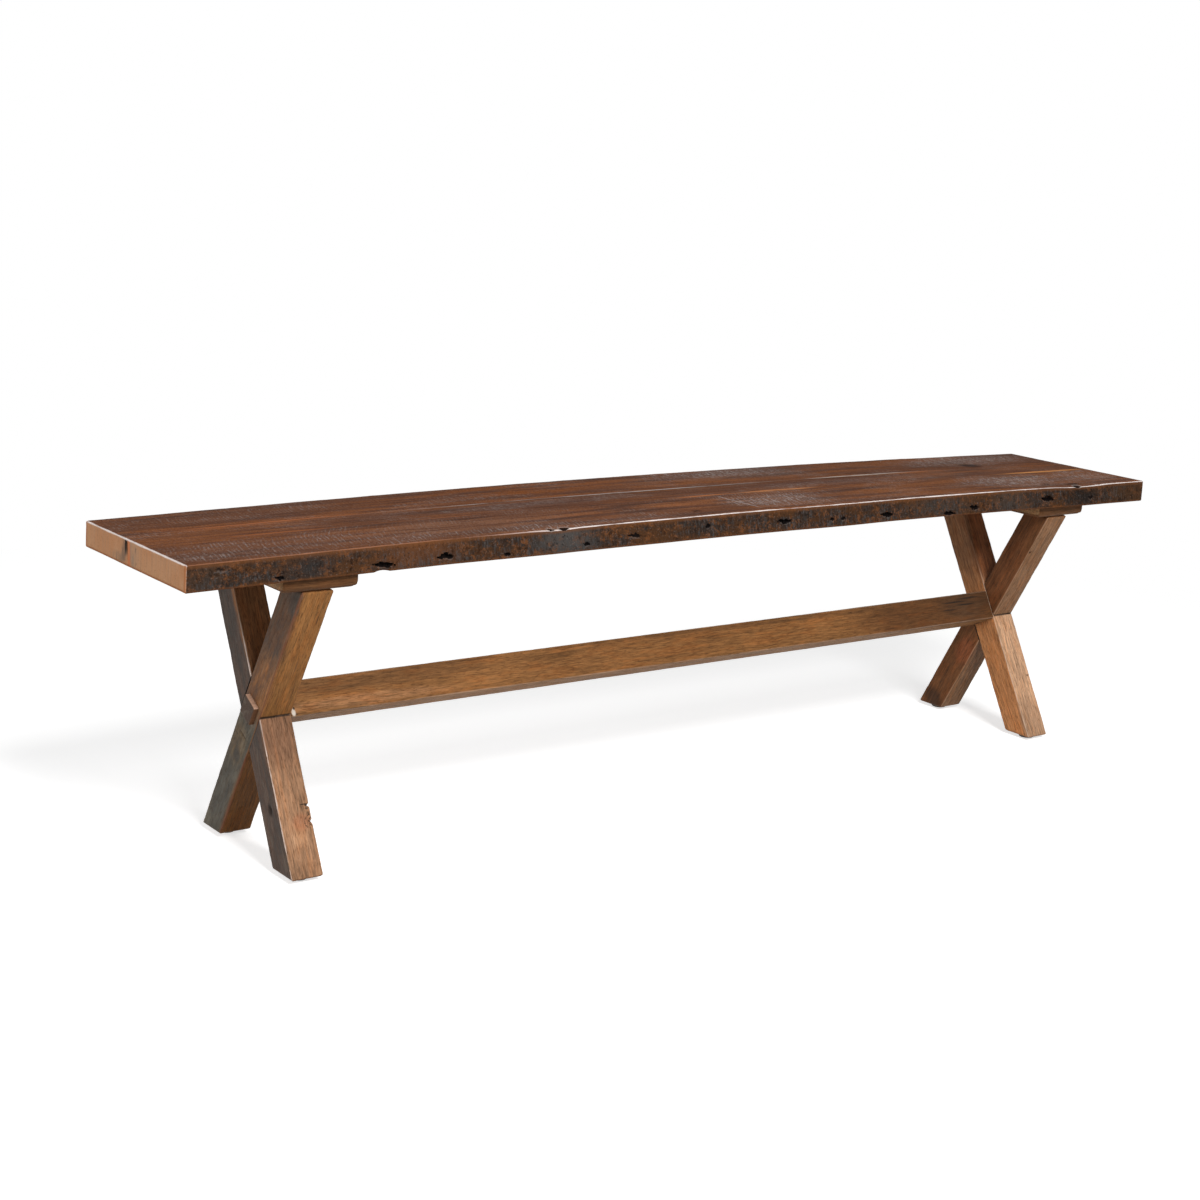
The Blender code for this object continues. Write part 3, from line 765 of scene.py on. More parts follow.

# Tinted patches, greyish sawn patches where whitish dust and painted glints show, dark knots
# and seam lines of the top: x, y, half length and half width, then the colour and the strength
# of those that have their own
ORANGE = (0.22, 0.078, 0.027)
TONE_PATCHES = (
    (-0.78, 0.045, 0.26, 0.018, (0.27, 0.092, 0.034), 0.65),
    (-0.74, 0.0, 0.2, 0.024, ORANGE, 0.6),
    (-0.44, -0.08, 0.26, 0.06, (0.245, 0.112, 0.062), 0.75),
    (-0.28, 0.105, 0.3, 0.055, (0.21, 0.066, 0.017), 0.85),
    (-0.66, 0.1, 0.28, 0.055, (0.088, 0.038, 0.022), 0.5),
    (-0.78, -0.09, 0.22, 0.055, (0.095, 0.042, 0.025), 0.45),
    (0.19, 0.12, 0.22, 0.045, (0.09, 0.058, 0.048), 0.6),
    (0.5, 0.11, 0.17, 0.05, ORANGE, 0.75),
    (-0.32, 0.018, 0.36, 0.028, (0.1, 0.06, 0.05), 0.65),
    (-0.14, -0.07, 0.24, 0.055, (0.3, 0.11, 0.042), 0.85),
    (0.38, -0.08, 0.2, 0.06, (0.24, 0.086, 0.03), 0.85),
    (0.3, 0.014, 0.22, 0.026, (0.1, 0.055, 0.048), 0.55),
    (0.86, -0.07, 0.1, 0.08, ORANGE, 0.6),
)
GREY_GLINT_PATCHES = (
    (0.19, 0.12, 0.24, 0.05, 0.7),
    (0.74, 0.11, 0.22, 0.06, 0.85),
    (-0.74, 0.12, 0.24, 0.05, 0.12),
    (-0.8, -0.095, 0.2, 0.065, 0.24),
    (-0.62, -0.11, 0.16, 0.05, 0.18),
    (-0.3, -0.13, 0.28, 0.035, 0.3),
    (0.11, -0.085, 0.14, 0.06, 0.95),
    (0.66, -0.08, 0.17, 0.07, 0.95),
    (-0.34, 0.018, 0.34, 0.028, 0.1),
    (0.4, 0.004, 0.4, 0.03, 0.22),
    (0.85, -0.08, 0.1, 0.08, 0.6),
)
DARK_KNOTS = (
    (0.705, 0.066, 0.036, 0.024),
    (-0.079, -0.118, 0.013, 0.007),
    (0.742, -0.134, 0.026, 0.009),
    (0.69, -0.12, 0.014, 0.008),
)
SEAM_LINES = (
    (-0.7, 0.046, 0.2, 0.005, (0.36, 0.125, 0.05)),
    (-0.14, 0.046, 0.46, 0.0038, (0.44, 0.38, 0.35)),
    (0.42, 0.046, 0.17, 0.0046, (0.54, 0.46, 0.4)),
    (0.56, 0.043, 0.12, 0.006, (0.32, 0.12, 0.05)),
    (-0.72, -0.022, 0.12, 0.0062, (0.28, 0.095, 0.036)),
    (-0.46, -0.022, 0.16, 0.003, (0.28, 0.105, 0.048)),
    (0.02, -0.022, 0.08, 0.007, (0.42, 0.15, 0.055)),
    (0.17, -0.022, 0.11, 0.0085, (0.56, 0.23, 0.09)),
    (0.8, -0.022, 0.15, 0.0085, (0.7, 0.3, 0.1)),
)

# Scratch across the front board: x at its middle, y at its middle and lean
SCRATCH_X, SCRATCH_Y, SCRATCH_LEAN = 0.036, -0.084, 0.03

# Stains on the front edge, dark at the ends and grey by the chips: x, height, half length and
# half height, colour and strength
EDGE_STAINS = (
    (0.75, 0.018, 0.06, 0.034, (0.016, 0.012, 0.01), 0.95),
    (0.87, 0.018, 0.08, 0.04, (0.052, 0.027, 0.014), 0.8),
    (0.57, 0.018, 0.07, 0.034, (0.06, 0.042, 0.032), 0.6),
    (-0.89, 0.018, 0.04, 0.04, (0.04, 0.028, 0.021), 0.65),
    (-0.745, 0.016, 0.08, 0.03, (0.024, 0.022, 0.021), 0.65),
    (-0.58, 0.018, 0.1, 0.034, (0.115, 0.045, 0.019), 0.65),
    (-0.34, 0.02, 0.08, 0.034, (0.056, 0.054, 0.052), 0.85),
    (0.4, 0.018, 0.12, 0.034, (0.058, 0.046, 0.038), 0.35),
)

# Grey stains round the crack in the left end: y, height, half sizes, colour and strength
END_STAINS = (
    (0.028, 0.022, 0.012, 0.024, (0.12, 0.092, 0.074), 0.9),
    (0.044, 0.008, 0.03, 0.012, (0.17, 0.125, 0.092), 0.75),
    (0.001, 0.018, 0.019, 0.03, (0.27, 0.195, 0.14), 0.85),
    (-0.003, 0.024, 0.002, 0.0065, (0.08, 0.062, 0.052), 0.95),
    (-0.006, 0.0075, 0.0028, 0.0045, (0.075, 0.058, 0.048), 0.95),
)

# Where the front edge and the left end lie, and the half size of a spot across them
FRONT_FACE_Y, LEFT_END_X = -0.151, -0.914
THROUGH, END_THROUGH = 0.5, 3.0


def top_spot(places, x, y, long, wide, soft):
    """Soft-edged spot on the seat's upper face."""
    return places.spot((x, y, SEAT_THICKNESS), (long, wide, THROUGH), soft)


class BoardPaint:
    """Colours of one seat board, face by face."""

    def __init__(self, paint, look, board):
        self.paint = paint
        self.look = look
        self.board = board
        self.flat = flat = paint.attribute("flat_place")
        self.x, self.y, self.up = flat.parts()
        self.down = SEAT_THICKNESS - self.up
        self.end_in = SEAT_LENGTH / 2 - abs(self.x)
        self.grain = flat.cloud((4.2, 62, 62), 4, 0.62)
        self.fine = flat.cloud((8, 190, 190), 3, 0.62)
        self.broad = flat.cloud((3, 10, 10))
        self.speck = flat.cloud((400, 400, 400), 2, 0.6)
        self.warped = flat.stirred(14.0, 0.05)
        self.ruffled = flat.stirred(70.0, 0.016)

    def strokes(self):
        """Broken, slanting marks of the saw across the board."""
        slant, bow = SAW_SLANTS[self.board.free]
        across = self.y - (self.board.low_y + self.board.high_y) / 2
        along = self.x - across * slant - across * across * bow + (self.broad - 0.5) * 0.03
        row = self.paint.vector(along, self.y, 0.0)
        each = row.cloud((210, 46, 1), 2, 0.6)
        breaks = row.cloud((380, 170, 1), 3, 0.7)
        comb = (along * (math.tau / self.look.saw_pitch)).wave()
        return (comb * 0.1 + each * 1.2 + breaks * 0.9).ease(1.04, 1.36)

    def top(self, strokes):
        """Stained and sawn upper face; its whitish saw marks and grey patches are partly dust,
        partly painted glints.
        """
        look = self.look
        coat = Coat(self.paint, look.stain)
        coat.lay((self.broad * 0.4 + self.grain * 0.7).ease(0.5, 0.7) * 0.9, look.warm_stain)
        for *spot, tint, strength in TONE_PATCHES:
            patch = top_spot(self.warped, *spot, 0.9) * self.grain.ease(0.36, 0.54)
            coat.lay(patch * strength, tint)
        coat.lay((self.grain * 0.45 + self.fine * 0.65).ease(0.56, 0.42) * 0.68, look.dark_stain)
        coat.lay(self.speck.ease(0.5, 0.34) * 0.6, look.dark_stain)
        # Whitish saw marks, grey patches and specks: partly saw dust, partly painted glints on the
        # ridges
        dust_and_glint = 0.05 + self.flat.cloud((7, 20, 1)).ease(0.46, 0.64) * 0.2
        for *spot, strength in GREY_GLINT_PATCHES:
            dust_and_glint = dust_and_glint + top_spot(self.warped, *spot, 0.9) * strength
        dust_and_glint_specks = self.speck.ease(0.56, 0.7) * self.fine.ease(0.44, 0.58)
        coat.lay((dust_and_glint * 0.16).smaller(0.2), look.mark)
        coat.lay((strokes * dust_and_glint + dust_and_glint_specks * (dust_and_glint * 1.1 + 0.06)).smaller(0.88), look.mark)
        for spot in DARK_KNOTS:
            coat.lay(top_spot(self.ruffled, *spot, 0.8) * 0.75, look.pit)
        for *spot, tint in SEAM_LINES:
            coat.lay(top_spot(self.flat, *spot, 0.7) * self.fine.ease(0.37, 0.5) * 0.85, tint)
        if self.board.free < 0:
            off = abs(self.x - SCRATCH_X + (self.y - SCRATCH_Y) * SCRATCH_LEAN)
            line = (off + self.speck.ease(0.3, 0.7) * 0.0018).ease(0.003, 0.0014)
            line = line * self.y.ease(-0.03, -0.04) * self.y.ease(-0.14, -0.12)
            coat.lay(line * 0.85, look.mark)
        return coat.colour

    def edge(self, hollow, rim):
        """Rough-sawn long edge, gone grey and rusty."""
        look = self.look
        leaning = self.paint.vector(self.x + self.up * 0.18, self.y, self.up)
        blotch = self.flat.cloud((16, 10, 60), 4, 0.6)
        lines = leaning.cloud((300, 8, 70), 4, 0.75)
        shade = leaning.cloud((120, 8, 110), 5, 0.78)
        rust = leaning.cloud((110, 10, 130), 5, 0.78)
        coat = Coat(self.paint, look.edge)
        coat.lay((blotch * 0.6 + shade * 0.5).ease(0.48, 0.62), look.edge_dark)
        bare = 1.0
        for x, up, long, tall, tint, strength in EDGE_STAINS:
            stain = self.warped.spot((x, FRONT_FACE_Y, up), (long, THROUGH, tall), 0.8) * strength
            coat.lay(stain, tint)
            bare = bare - stain * 0.7
        coat.lay(rust.ease(0.5, 0.62) * bare * 0.75, look.edge_rust)
        streaked = blotch.ease(0.4, 0.58) * (bare * 0.8 + 0.2) * 0.6
        coat.lay(lines.ease(0.5, 0.62) * streaked, look.edge_grey)
        coat.lay(lines.ease(0.46, 0.36) * 0.35, look.pit)
        coat.lay(shade.ease(0.47, 0.36) * 0.65, look.pit)
        coat.lay(self.speck.ease(0.58, 0.72) * 0.12, look.mark)
        brown = self.down.ease(0.008, 0.003).larger(self.up.ease(0.004, 0.001))
        coat.lay(brown * 0.5, look.edge_rust)
        # Painted highlight on the lit lower rims of the pits
        coat.lay(rim.ease(0.5, 0.95) * 0.1, look.mark)
        # Dark inside the pits: knot wood and painted shade, darker where deeper
        coat.lay(hollow.ease(0.03, 0.3) * 0.97, look.pit)
        return coat.colour

    def end(self):
        """Smooth tan end grain, with the heart crack in the middle board and painted shade inside
        it.
        """
        look = self.look
        shade = self.flat.cloud((1, 30, 20), 3)
        lines = self.flat.cloud((1, 260, 14), 3)
        coat = Coat(self.paint, look.end)
        coat.lay(shade.ease(0.4, 0.6) * 0.6, (0.42, 0.195, 0.092))
        coat.lay(lines.ease(0.46, 0.62) * 0.35, (0.34, 0.205, 0.125))
        coat.lay(self.speck.ease(0.54, 0.74) * 0.25, look.edge_rust)
        if self.board.free >= 0:
            for y, up, wide, tall, tint, strength in END_STAINS:
                stain = self.ruffled.spot((LEFT_END_X, y, up), (END_THROUGH, wide, tall), 0.8)
                stain = stain * (0.35 + (lines * 0.6 + shade * 0.6).ease(0.46, 0.64) * 0.65)
                coat.lay(stain * strength, tint)
        if self.board.free == 0:
            beside = self.y - CRACK_Y + self.down * CRACK_LEAN
            line = beside.ease(0.0006, -0.001) * beside.ease(-0.011, -0.006)
            coat.lay(line * 0.7, (0.5, 0.16, 0.065))
            # Painted shade inside the heart crack
            core = beside.ease(-0.0006, 0.0006) * beside.ease(0.0095, 0.005)
            core = core * self.down.ease(0.024, 0.012) * lines.ease(0.3, 0.5)
            coat.lay(core * 0.92, look.pit)
        coat.lay(self.up.ease(0.0048, 0.002) * 0.7, look.warm_stain)
        return coat.colour

    def wear(self, coat, inwards, scoop):
        """Lay pale lines along the arrises of the free edge and of the ends: partly worn wood,
        partly a painted highlight on the rounded arrises. Chips get a painted highlight round them
        and painted shade inside.
        """
        look = self.look
        uneven = self.flat.cloud((11, 30, 30), 4) * 0.0022 - 0.0011
        ends = (self.end_in - 0.0002).larger(self.down - 0.0002) - uneven
        left = self.x.ease(0.3, -0.3)
        tint = self.paint.mix(left, look.warm_stain, look.worn)
        coat.lay(ends.ease(0.0026, 0.001) * (0.4 + left * 0.52), tint)
        if inwards is None:
            return
        stripe = inwards.ease(0.0075, 0.0045) * self.end_in.ease(0.0016, 0.0006)
        coat.lay(stripe * 0.75, (0.36, 0.135, 0.052))
        upright = self.end_in.larger(inwards) - uneven
        pale = self.speck.ease(0.36, 0.52) * (0.62 if self.board.free < 0 else 0.0)
        coat.lay(upright.ease(0.0018, 0.0007) * pale * left, look.worn)
        # The front arris line whitens to the right as a painted highlight
        whiter_highlight = self.x.ease(-0.52, -0.3)
        tint = self.paint.mix(whiter_highlight, look.arris_brown, look.worn)
        line = (inwards - 0.0006).larger(self.down - 0.0002) - uneven
        coat.lay(line.ease(0.0019, 0.0008) * (0.6 + whiter_highlight * 0.36), tint)
        # Painted highlight round each chip
        coat.lay(scoop.ease(0.06, 0.16) * scoop.ease(0.34, 0.26) * 0.4, (0.3, 0.27, 0.25))
        # Painted shade inside each chip
        coat.lay(scoop.ease(0.28, 0.4) * 0.96, look.pit)


def seat_finish(look, board, name):
    """Dark stain, saw marks, weathered edges and tan end grain on a board."""
    material, paint, shader = new_finish(name)
    wood = BoardPaint(paint, look, board)
    strokes = wood.strokes()
    coat = Coat(paint, wood.top(strokes))
    inwards = scoop = None
    if board.free:
        # Pit shares: painted shade in the pits, painted highlight on their lower rims, and the
        # chips
        hollow, rim, scoop = paint.attribute("pit").parts()
        inwards = board.inwards(wood.y)
        on_side = (inwards - wood.down * 0.35).ease(0.0014, 0.0002)
        under = (wood.up - inwards * 0.2).ease(0.0016, 0.0004)
        coat.lay(on_side.larger(under), wood.edge(hollow, rim))
    else:
        coat.lay(wood.up.ease(0.0016, 0.0004), look.edge)
    coat.lay(wood.end_in.ease(0.0016, 0.0004), wood.end())
    wood.wear(coat, inwards, scoop)
    relief = strokes * 0.7 + wood.fine * 0.6 + wood.speck * 0.35
    paint.feed(shader, {
        "Base Color": coat.colour, "Roughness": 0.75 + wood.grain.ease(0.35, 0.65) * 0.1,
        "Normal": paint.bump(relief, 0.0007, 0.8), "Specular IOR Level": 0.02,
    })
    return material


class BENCH_OT_seat(bpy.types.Operator):
    """Make the three worn seat boards"""

    bl_idname = "bench.make_seat"
    bl_label = "Seat boards"
    bl_options = {"REGISTER", "UNDO"}

    def execute(self, context):
        look = context.scene.bench_seat
        front, rear = FRONT_JOINT + FIT_GAP, REAR_JOINT - FIT_GAP
        boards = {
            "front_board": (Board(look, -HALF_SEAT, FRONT_JOINT, -1), ((30, 30), (4, 4), (24,))),
            "middle_board": (Board(look, front, rear, 0), ((20, 20), (12,), (12,))),
            "back_board": (Board(look, REAR_JOINT, HALF_SEAT, 1), ((25, 24), (14,), (18,))),
        }
        for node, (board, cuts) in boards.items():
            piece = make_board("worn_" + node, board, cuts)
            if board.free == 0:
                combine(piece, heart_crack())
            write_places(piece, board)
            stand_in(piece, node, seat_finish(look, board, node + "_stain"))
        return {"FINISHED"}


# Oak of the legs, stretcher and cleats


@dataclass
class OakPiece:
    """Where a piece of oak lies, upright or level along X, and how its grain looks."""

    centre: tuple
    half: tuple
    rest: tuple
    faces: tuple
    level: bool = False
    lean: float = 0.0
    heart: tuple = (0.07, 0.05)
    weather: float = 0.0
    line: tuple = ()
    crease_shade: tuple = ()
    tints: tuple = ()
    marks: tuple = ()
    knot: tuple = ()
    shift: float = 0.0


def low_face(side, size):
    """1 on the face where one direction of a piece begins."""
    return side.ease(0.0024 - size, 0.0006 - size)


def lay_spots(coat, spots, place, shake):
    """Lay ragged spots: centre, radii, colour and strength of each."""
    for centre, radii, tint, strength in spots:
        rough_place = place.vector_sum("ADD", shake.scaled(min(radii) * 1.6))
        coat.lay(rough_place.spot(centre, radii, 0.6) * strength, tint)


def oak_finish(look, oak, name):
    """Oiled oak with open grain, worn arrises and weathered faces."""
    material, paint, shader = new_finish(name)
    place = paint.place()
    x, y, z = sides = place.mapped(Location=oak.centre, Rotation=(oak.lean, 0.0, 0.0)).parts()
    u, v, along = (y, z, x) if oak.level else (x, y, z)
    half_u, half_v = oak.half[1:] if oak.level else oak.half[:2]
    fibre = paint.vector(u, v, along + oak.shift)

    # Year rings round the tree's heart, bent along the grain, then fibres and pores
    bend = fibre.cloud((16, 16, 3.4), 4, 0.6) - 0.5
    across = u - oak.heart[0] + bend * 0.045
    deep = v - oak.heart[1] + bend * 0.035
    ring = ((across * across + deep * deep).root() / look.ring_pitch) % 1.0
    late = ring.ease(0.1, 0.8) * ring.ease(1.0, 0.9)
    broad = fibre.cloud((20, 20, 5), 3, 0.55)
    streak = fibre.cloud((240, 240, 12), 4, 0.62)
    thread = fibre.cloud((600, 600, 48), 3, 0.65)
    pores = fibre.cloud((850, 850, 90), 2, 0.6).ease(0.55, 0.68)
    mottle = fibre.cloud((70, 70, 26), 4, 0.65)

    # Tone of each face, and the stains at their own places
    coat = Coat(paint, oak.rest)
    for side, size, tint in zip(sides, oak.half, oak.faces):
        if tint:
            coat.lay(low_face(side, size), tint)
    spot_place = paint.vector(u, v, along)
    shake = paint.vector(mottle - 0.5, broad - 0.5, bend)
    lay_spots(coat, oak.tints, spot_place, shake)
    tone = 1.0 + (broad - 0.5) * 1.0 + (streak - 0.5) * 1.1 + (thread - 0.5) * 1.7
    coat.colour = coat.colour.scaled(tone - late * 0.14)
    coat.lay((mottle * 0.5 + streak * 0.5).ease(0.48, 0.6) * 0.5, (1.0, 0.8, 0.62), "MULTIPLY")
    coat.lay(pores * 0.6, look.dark)
    coat.lay(mottle.ease(0.6, 0.74) * 0.25, look.dark)

    # Weathered face on the left
    if oak.weather:
        face = low_face(x, oak.half[0]) * oak.weather
        coat.lay(face * (mottle * 0.7 + thread * 0.4).ease(0.5, 0.66) * 0.85, SLATE)
        coat.lay(face * (mottle * 0.6 + streak * 0.5).ease(0.54, 0.4) * 0.45, look.weathered)

    # Knots and cracks at their own places
    lay_spots(coat, oak.marks, spot_place, shake)

    # Broken rings of a knot in the front face
    if oak.knot:
        knot_u, knot_along, reach = oak.knot
        beside, above = u - knot_u, (along - knot_along) * 1.3
        distance = (beside * beside + above * above).root() + (mottle - 0.5) * 0.006
        rim = (distance * (math.tau / KNOT_RING_PITCH)).wave().ease(0.3, 0.8)
        rim = rim * spot_place.cloud((230, 230, 230), 2, 0.6).ease(0.43, 0.51)
        rim = rim * distance.ease(reach, reach * 0.7)
        coat.lay(rim * y.ease(-0.02, -0.023) * 0.9, BLACK)

    # Worn arrises, and the line on the one at the front left
    inner = (half_u - abs(u)).larger(half_v - abs(v))
    worn = (inner - (broad - 0.5) * 0.004).ease(0.0022, 0.0006)
    coat.lay(worn * (mottle * 0.6 + broad * 0.5).ease(0.42, 0.6) * 0.28, look.worn)
    if oak.line:
        tint, strength, width, top = oak.line
        near = (oak.half[0] + x).larger(oak.half[1] + y)
        line = (near - (mottle - 0.5) * 0.005).ease(width, width * 0.4)
        line = line * (1.0 - abs(z - RUBBED_HEIGHT).ease(0.034, 0.02) * 0.6)
        coat.lay(line * z.ease(top + 0.09, top) * strength, tint)

    # Painted shade in the crease where the two legs meet
    if oak.crease_shade:
        lean, kept = oak.crease_shade
        _, world_y, world_z = place.parts()
        other = world_y * math.cos(LEAN) + (world_z - CROSSING_Z) * (lean * math.sin(LEAN))
        crease_share = (abs(other) - HALF_LEG).ease(0.0019, 0.0005)
        cut_side = (x * kept).ease(HALF_LEG - 0.0006, HALF_LEG - 0.003)
        coat.lay(crease_share * cut_side * 0.85, BLACK)

    relief = thread * 0.6 - pores * 0.8 + mottle * 0.5 + streak * 0.4
    paint.feed(shader, {
        "Base Color": coat.colour,
        "Roughness": 0.6 + pores * 0.2 + mottle.ease(0.4, 0.7) * 0.08,
        "Normal": paint.bump(relief, 0.0004, 0.7),
        "Specular IOR Level": 0.12,
    })
    return material


def post_place(half, seed, radius):
    """Shape of a worn square post along Z: eased arrises, slight waves in its faces."""

    def place(point):
        a, b, c = point
        wear = 1 + 0.55 * ripple(a * 30, b * 30, c * 26 + seed)
        wear += 0.3 * ripple(seed, c * 110, a * 60)
        in_a, in_b = ease_pair(half[0] - abs(a), half[1] - abs(b), radius * wear)
        a = math.copysign(half[0] - in_a, a)
        b = math.copysign(half[1] - in_b, b)
        depth = 0.00022 * (1 + ripple(a * 45, b * 45, c * 9 + seed))
        depth += 0.00012 * (1 + ripple(a * 150, b * 150, c * 40 + seed))
        if in_a <= in_b:
            return a - math.copysign(depth, a), b, c
        return a, b - math.copysign(depth, b), c

    return place


def saw_end(height, up, radius):
    """Saw the active leg level at a height, with lines above the cut for its eased rim."""
    bpy.ops.object.mode_set(mode="EDIT")
    for share in EASE_SHARES[::-1]:
        cut = share == 0.0
        bpy.ops.mesh.select_all(action="SELECT")
        bpy.ops.mesh.bisect(
            plane_co=(0.0, 0.0, height - up * radius * share), plane_no=(0.0, 0.0, up),
            clear_outer=cut, use_fill=cut,
        )
    bpy.ops.object.mode_set(mode="OBJECT")


def ease_rims(piece, centre_x, lean, radius):
    """Round the rims of a leg's sawn foot and top."""
    half_y = HALF_LEG / math.cos(LEAN)

    def place(point):
        x, y, z = point
        from_end = min(z - LEG_FOOT_Z, LEG_TOP_Z - z)
        if from_end >= radius:
            return x, y, z
        inset = radius - math.sqrt(max(0.0, radius ** 2 - (radius - from_end) ** 2))
        middle = lean * (z - CROSSING_Z) * math.tan(LEAN)
        most_x, most_y = HALF_LEG - inset, half_y - inset * 1.1
        off_x = min(max(x - centre_x, -most_x), most_x)
        off_y = min(max(y - middle, -most_y), most_y)
        return centre_x + off_x, middle + off_y, z

    move_points(piece, place)


def knot_holes(piece, to_local, holes):
    """Push small holes and notches into a leg: centre, radii and depth in its own directions."""
    from_local = to_local.inverted()

    def place(point):
        local = to_local @ point
        for centre, radii, push in holes:
            off = [(local[i] - centre[i]) / radii[i] for i in range(3)]
            distance = math.sqrt(sum(part * part for part in off))
            if distance < 1:
                local += Vector(push) * smooth_step(1 - distance, 0.0, 0.7)
        return from_local @ local

    move_points(piece, place)


# Notches and holes: centre, radii and how far the wood is pushed in, in each leg's own directions
LEG_HOLES = {
    "left_inner_leg": (
        ((0.024, -0.024, -0.1368), (0.005, 0.008, 0.0024), (-0.0034, 0.001, 0.0)),
        ((0.024, -0.024, -0.1592), (0.0042, 0.007, 0.003), (-0.0024, 0.0012, 0.0)),
        ((-0.024, -0.0028, -0.1332), (0.004, 0.0042, 0.0085), (0.0026, 0.0, 0.0)),
    ),
    "left_outer_leg": (
        ((-0.024, -0.0021, -0.04), (0.003, 0.016, 0.0016), (0.0012, 0.0, 0.0)),
    ),
    "right_outer_leg": (
        ((-0.0182, -0.024, 0.1546), (0.0036, 0.004, 0.0028), (0.0, 0.0022, 0.0)),
    ),
    "right_inner_leg": (
        ((0.018, -0.024, -0.1254), (0.003, 0.004, 0.0026), (0.0, 0.0018, 0.0)),
    ),
}

BLACK = (0.012, 0.009, 0.007)
UMBER = (0.06, 0.036, 0.022)
SLATE = (0.055, 0.05, 0.045)

# Stains of each leg: centre and radii (across, deep, along), colour and strength
LEG_TINTS = {
    "left_inner_leg": (
        ((0.008, -0.024, -0.158), (0.02, 0.006, 0.015), (0.4, 0.165, 0.085), 0.5),
        ((-0.002, -0.024, -0.18), (0.017, 0.006, 0.013), (0.5, 0.29, 0.165), 0.5),
        ((-0.024, 0.008, 0.14), (0.008, 0.03, 0.12), SLATE, 0.4),
        ((0.0, -0.024, -0.025), (0.06, 0.012, 0.085), (0.205, 0.1, 0.054), 0.8),
        ((0.0, -0.024, 0.15), (0.06, 0.012, 0.15), (0.24, 0.104, 0.038), 0.8),
        ((-0.02, -0.024, 0.15), (0.014, 0.012, 0.15), (0.25, 0.115, 0.05), 0.6),
    ),
    "left_outer_leg": (
        ((-0.024, 0.0, 0.165), (0.012, 0.06, 0.105), (0.114, 0.05, 0.022), 0.88),
        ((-0.024, 0.0, 0.05), (0.012, 0.06, 0.075), (0.255, 0.108, 0.037), 0.9),
        ((-0.024, 0.022, 0.1), (0.01, 0.013, 0.11), (0.085, 0.044, 0.026), 0.55),
        ((-0.024, -0.025, 0.21), (0.008, 0.04, 0.035), SLATE, 0.6),
        ((-0.024, 0.006, -0.062), (0.01, 0.03, 0.045), (0.15, 0.1, 0.052), 0.75),
        ((-0.024, 0.0, -0.078), (0.01, 0.014, 0.015), (0.034, 0.032, 0.028), 0.75),
        ((-0.024, 0.006, -0.15), (0.008, 0.026, 0.07), (0.064, 0.06, 0.05), 0.7),
        ((0.0, -0.024, -0.15), (0.06, 0.012, 0.11), (0.135, 0.052, 0.011), 0.75),
    ),
    "right_inner_leg": (
        ((0.0, -0.024, 0.13), (0.06, 0.012, 0.13), (0.26, 0.062, 0.006), 0.8),
        ((-0.024, 0.0, 0.15), (0.012, 0.06, 0.14), (0.26, 0.13, 0.066), 0.85),
        ((0.0, -0.024, -0.205), (0.06, 0.012, 0.06), (0.4, 0.235, 0.14), 0.8),
    ),
    "right_outer_leg": (
        ((-0.024, 0.0, -0.206), (0.01, 0.03, 0.026), BLACK, 0.65),
        ((-0.024, -0.0087, -0.0815), (0.01, 0.026, 0.04), (0.28, 0.085, 0.035), 0.55),
        ((-0.024, 0.0, 0.09), (0.01, 0.03, 0.13), (0.19, 0.07, 0.028), 0.5),
    ),
}

# Knots and cracks of each leg, written the same way
LEG_MARKS = {
    "left_inner_leg": (
        ((0.02, -0.024, -0.137), (0.0042, 0.008, 0.0026), BLACK, 0.95),
        ((0.015, -0.024, -0.1352), (0.007, 0.008, 0.0012), BLACK, 0.85),
        ((0.019, -0.024, -0.1412), (0.003, 0.008, 0.0022), UMBER, 0.85),
        ((0.0225, -0.024, -0.1592), (0.0042, 0.008, 0.0028), BLACK, 0.95),
        ((0.02, -0.024, -0.148), (0.0014, 0.008, 0.004), BLACK, 0.75),
        ((-0.024, -0.0028, -0.1332), (0.012, 0.0075, 0.012), BLACK, 0.95),
    ),
    "left_outer_leg": (
        ((-0.024, -0.0021, -0.04), (0.006, 0.015, 0.0018), BLACK, 0.8),
        ((-0.024, 0.015, -0.049), (0.006, 0.006, 0.0014), BLACK, 0.6),
        ((0.0141, -0.024, 0.182), (0.001, 0.006, 0.012), BLACK, 0.7),
        ((0.006, -0.024, 0.1), (0.0009, 0.006, 0.02), UMBER, 0.6),
    ),
    "right_inner_leg": (
        ((0.018, -0.024, -0.1254), (0.003, 0.006, 0.0024), BLACK, 0.8),
    ),
    "right_outer_leg": (
        ((-0.0182, -0.024, 0.1546), (0.0034, 0.006, 0.0028), BLACK, 0.9),
    ),
}

# Pitch of the broken rings of a knot, and the height where the worn line is rubbed away
KNOT_RING_PITCH = 0.006
RUBBED_HEIGHT = -0.028

